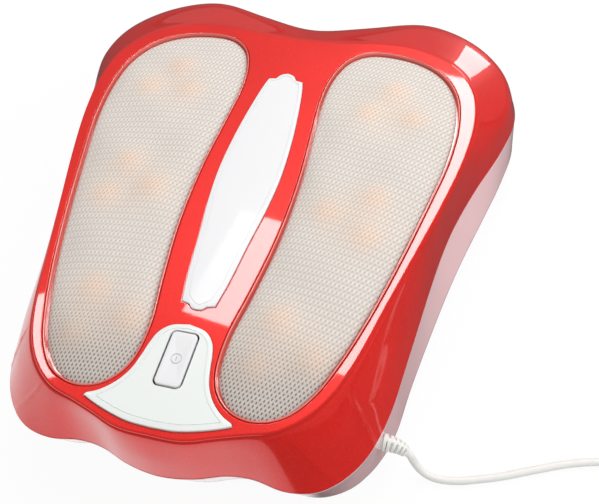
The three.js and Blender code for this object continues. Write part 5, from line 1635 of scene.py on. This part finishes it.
def share_property(name, description, default, low=0.0, high=1.0):
    """Share that a user can set."""
    return FloatProperty(name=name, description=description, default=default, min=low, max=high,
                         subtype="FACTOR")


def length_property(name, description, default, low, high):
    """Length that a user can set: given here in millimetres and kept in metres."""
    return FloatProperty(name=name, description=description, default=default * MM, min=low * MM,
                         max=high * MM, subtype="DISTANCE", unit="LENGTH", precision=4)


def power_property(name, description, default):
    """Power in watts that a user can set."""
    return FloatProperty(name=name, description=description, default=default, min=0, subtype="POWER",
                         unit="POWER")


class MassagerHousing(bpy.types.PropertyGroup):
    shell_colour: colour_property("Shell colour", "Linear colour of the red lacquer", (0.84, 0.02, 0.014))
    lower_colour: colour_property("Lower colour", "Linear colour of the lower housing", (0.92, 0.61, 0.63))
    shell_roughness: share_property("Shell roughness", "Roughness under the clear coat", 0.35)
    pearl: share_property("Pearl", "Metallic share of the lacquer", 0.25)
    rim_rounding: length_property("Rim rounding", "Radius of the deck's edge", 0.9, 0.2, 4)
    base_rounding: length_property("Base rounding", "Radius of the underside's edge", 6.0, 1, 12)


class MassagerCloth(bpy.types.PropertyGroup):
    thread_colour: colour_property("Thread colour", "Linear colour of the threads", (0.80, 0.74, 0.68))
    # Gap colour: painted shade of the inside seen through the gaps
    gap_shade_colour: colour_property("Gap colour", "Linear colour of the gaps' rims", (0.58, 0.53, 0.49))
    # Warm colour and its share: painted glow over the lit knobs, which stands in for their light through
    # the cloth
    painted_glow_colour: colour_property("Warm colour", "Linear colour over the lit knobs", (0.90, 0.62, 0.45))
    painted_glow: share_property("Warmth", "Share of that colour over a knob", 0.54)
    pitch: length_property("Thread pitch", "Distance between threads", 2.5, 0.5, 6)
    thread_angle: FloatProperty(name="Thread angle", description="Angle between the threads",
                                default=math.radians(56), min=math.radians(20), max=math.radians(90),
                                subtype="ANGLE", unit="ROTATION")
    fan_reach: length_property("Fan reach", "Distance of the threads' far apex", 944, 300, 9000)
    gap: share_property("Gap threshold", "Higher values make the gaps smaller", 0.66, 0.2, 0.95)
    gap_alpha: share_property("Gap opacity", "Opacity of the gaps", 0.78)
    thread_alpha: share_property("Thread opacity", "Opacity of the threads", 0.96)
    crown: length_property("Crown", "Rise of the cloth's middle", 4.2, 0, 12)
    rise: length_property("Knob rise", "Rise of the cloth over each knob", 1.5, 0, 4)
    reach: length_property("Knob reach", "Width of that rise", 11.0, 2, 30)
    wave: length_property("Waves", "Height of the slow waves", 0.7, 0, 3)


class MassagerHeads(bpy.types.PropertyGroup):
    glow_colour: colour_property("Glow colour", "Linear colour of the lit knobs", (1.0, 0.42, 0.16))
    glow_strength: FloatProperty(name="Glow strength", description="Emission of the knobs' tops",
                                 default=2.2, min=0, max=20)
    glow_floor: share_property("Glow at the foot", "Share of the glow at the knobs' feet", 0.15)


class MassagerStage(bpy.types.PropertyGroup):
    key_watts: power_property("Key", "Power of the key soft box", 6.8)
    strip_watts: power_property("Strips", "Power of the largest strip", 15.0)
    world_strength: share_property("World", "Strength of the even world light", 0.46)
    world_mirrored: share_property("World in reflections", "Its strength in reflections", 0.2)
    floor_white: share_property("Floor white", "Share of plain white that the camera sees", 0.93)
    floor_gloss: share_property("Floor gloss", "Share of plain white on the mirrored cards", 0.9)
    floor_grey: share_property("Floor grey", "Colour of the floor for the light that it gives back", 0.75)
    floor_mirrored: share_property("Floor in reflections", "Its colour beside the white cards", 0.08)


class MASSAGER_PT_panel(bpy.types.Panel):
    """Lists the massager's operators and settings"""
    bl_label = "Foot massager"
    bl_idname = "MASSAGER_PT_panel"
    bl_space_type = "VIEW_3D"
    bl_region_type = "UI"
    bl_category = "Massager"

    def draw(self, context):
        for operator in OPERATORS:
            self.layout.operator(operator.bl_idname)
        for group_name, settings in SETTINGS.items():
            box = self.layout.box()
            for key in settings.__annotations__:
                box.prop(getattr(context.scene, group_name), key)


OPERATORS = (
    MASSAGER_OT_stage, MASSAGER_OT_housing, MASSAGER_OT_windows, MASSAGER_OT_controls,
    MASSAGER_OT_heads, MASSAGER_OT_drive, MASSAGER_OT_fasteners, MASSAGER_OT_lead,
)
SETTINGS = {
    "massager_housing": MassagerHousing,
    "massager_cloth": MassagerCloth,
    "massager_heads": MassagerHeads,
    "massager_stage": MassagerStage,
}


def register():
    """Registers the settings, the operators and the panel."""
    for cls in (*SETTINGS.values(), *OPERATORS, MASSAGER_PT_panel):
        bpy.utils.register_class(cls)
    for name, settings in SETTINGS.items():
        setattr(bpy.types.Scene, name, PointerProperty(type=settings))


def unregister():
    """Takes everything that was registered away again."""
    for name in SETTINGS:
        delattr(bpy.types.Scene, name)
    for cls in (MASSAGER_PT_panel, *OPERATORS, *SETTINGS.values()):
        bpy.utils.unregister_class(cls)


def main():
    """Registers the add-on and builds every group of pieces."""
    register()
    bpy.ops.massager.stage()
    bpy.ops.massager.housing()
    bpy.ops.massager.windows()
    bpy.ops.massager.controls()
    bpy.ops.massager.heads()
    bpy.ops.massager.drive()
    bpy.ops.massager.fasteners()
    bpy.ops.massager.lead()


if __name__ == "__main__":
    main()
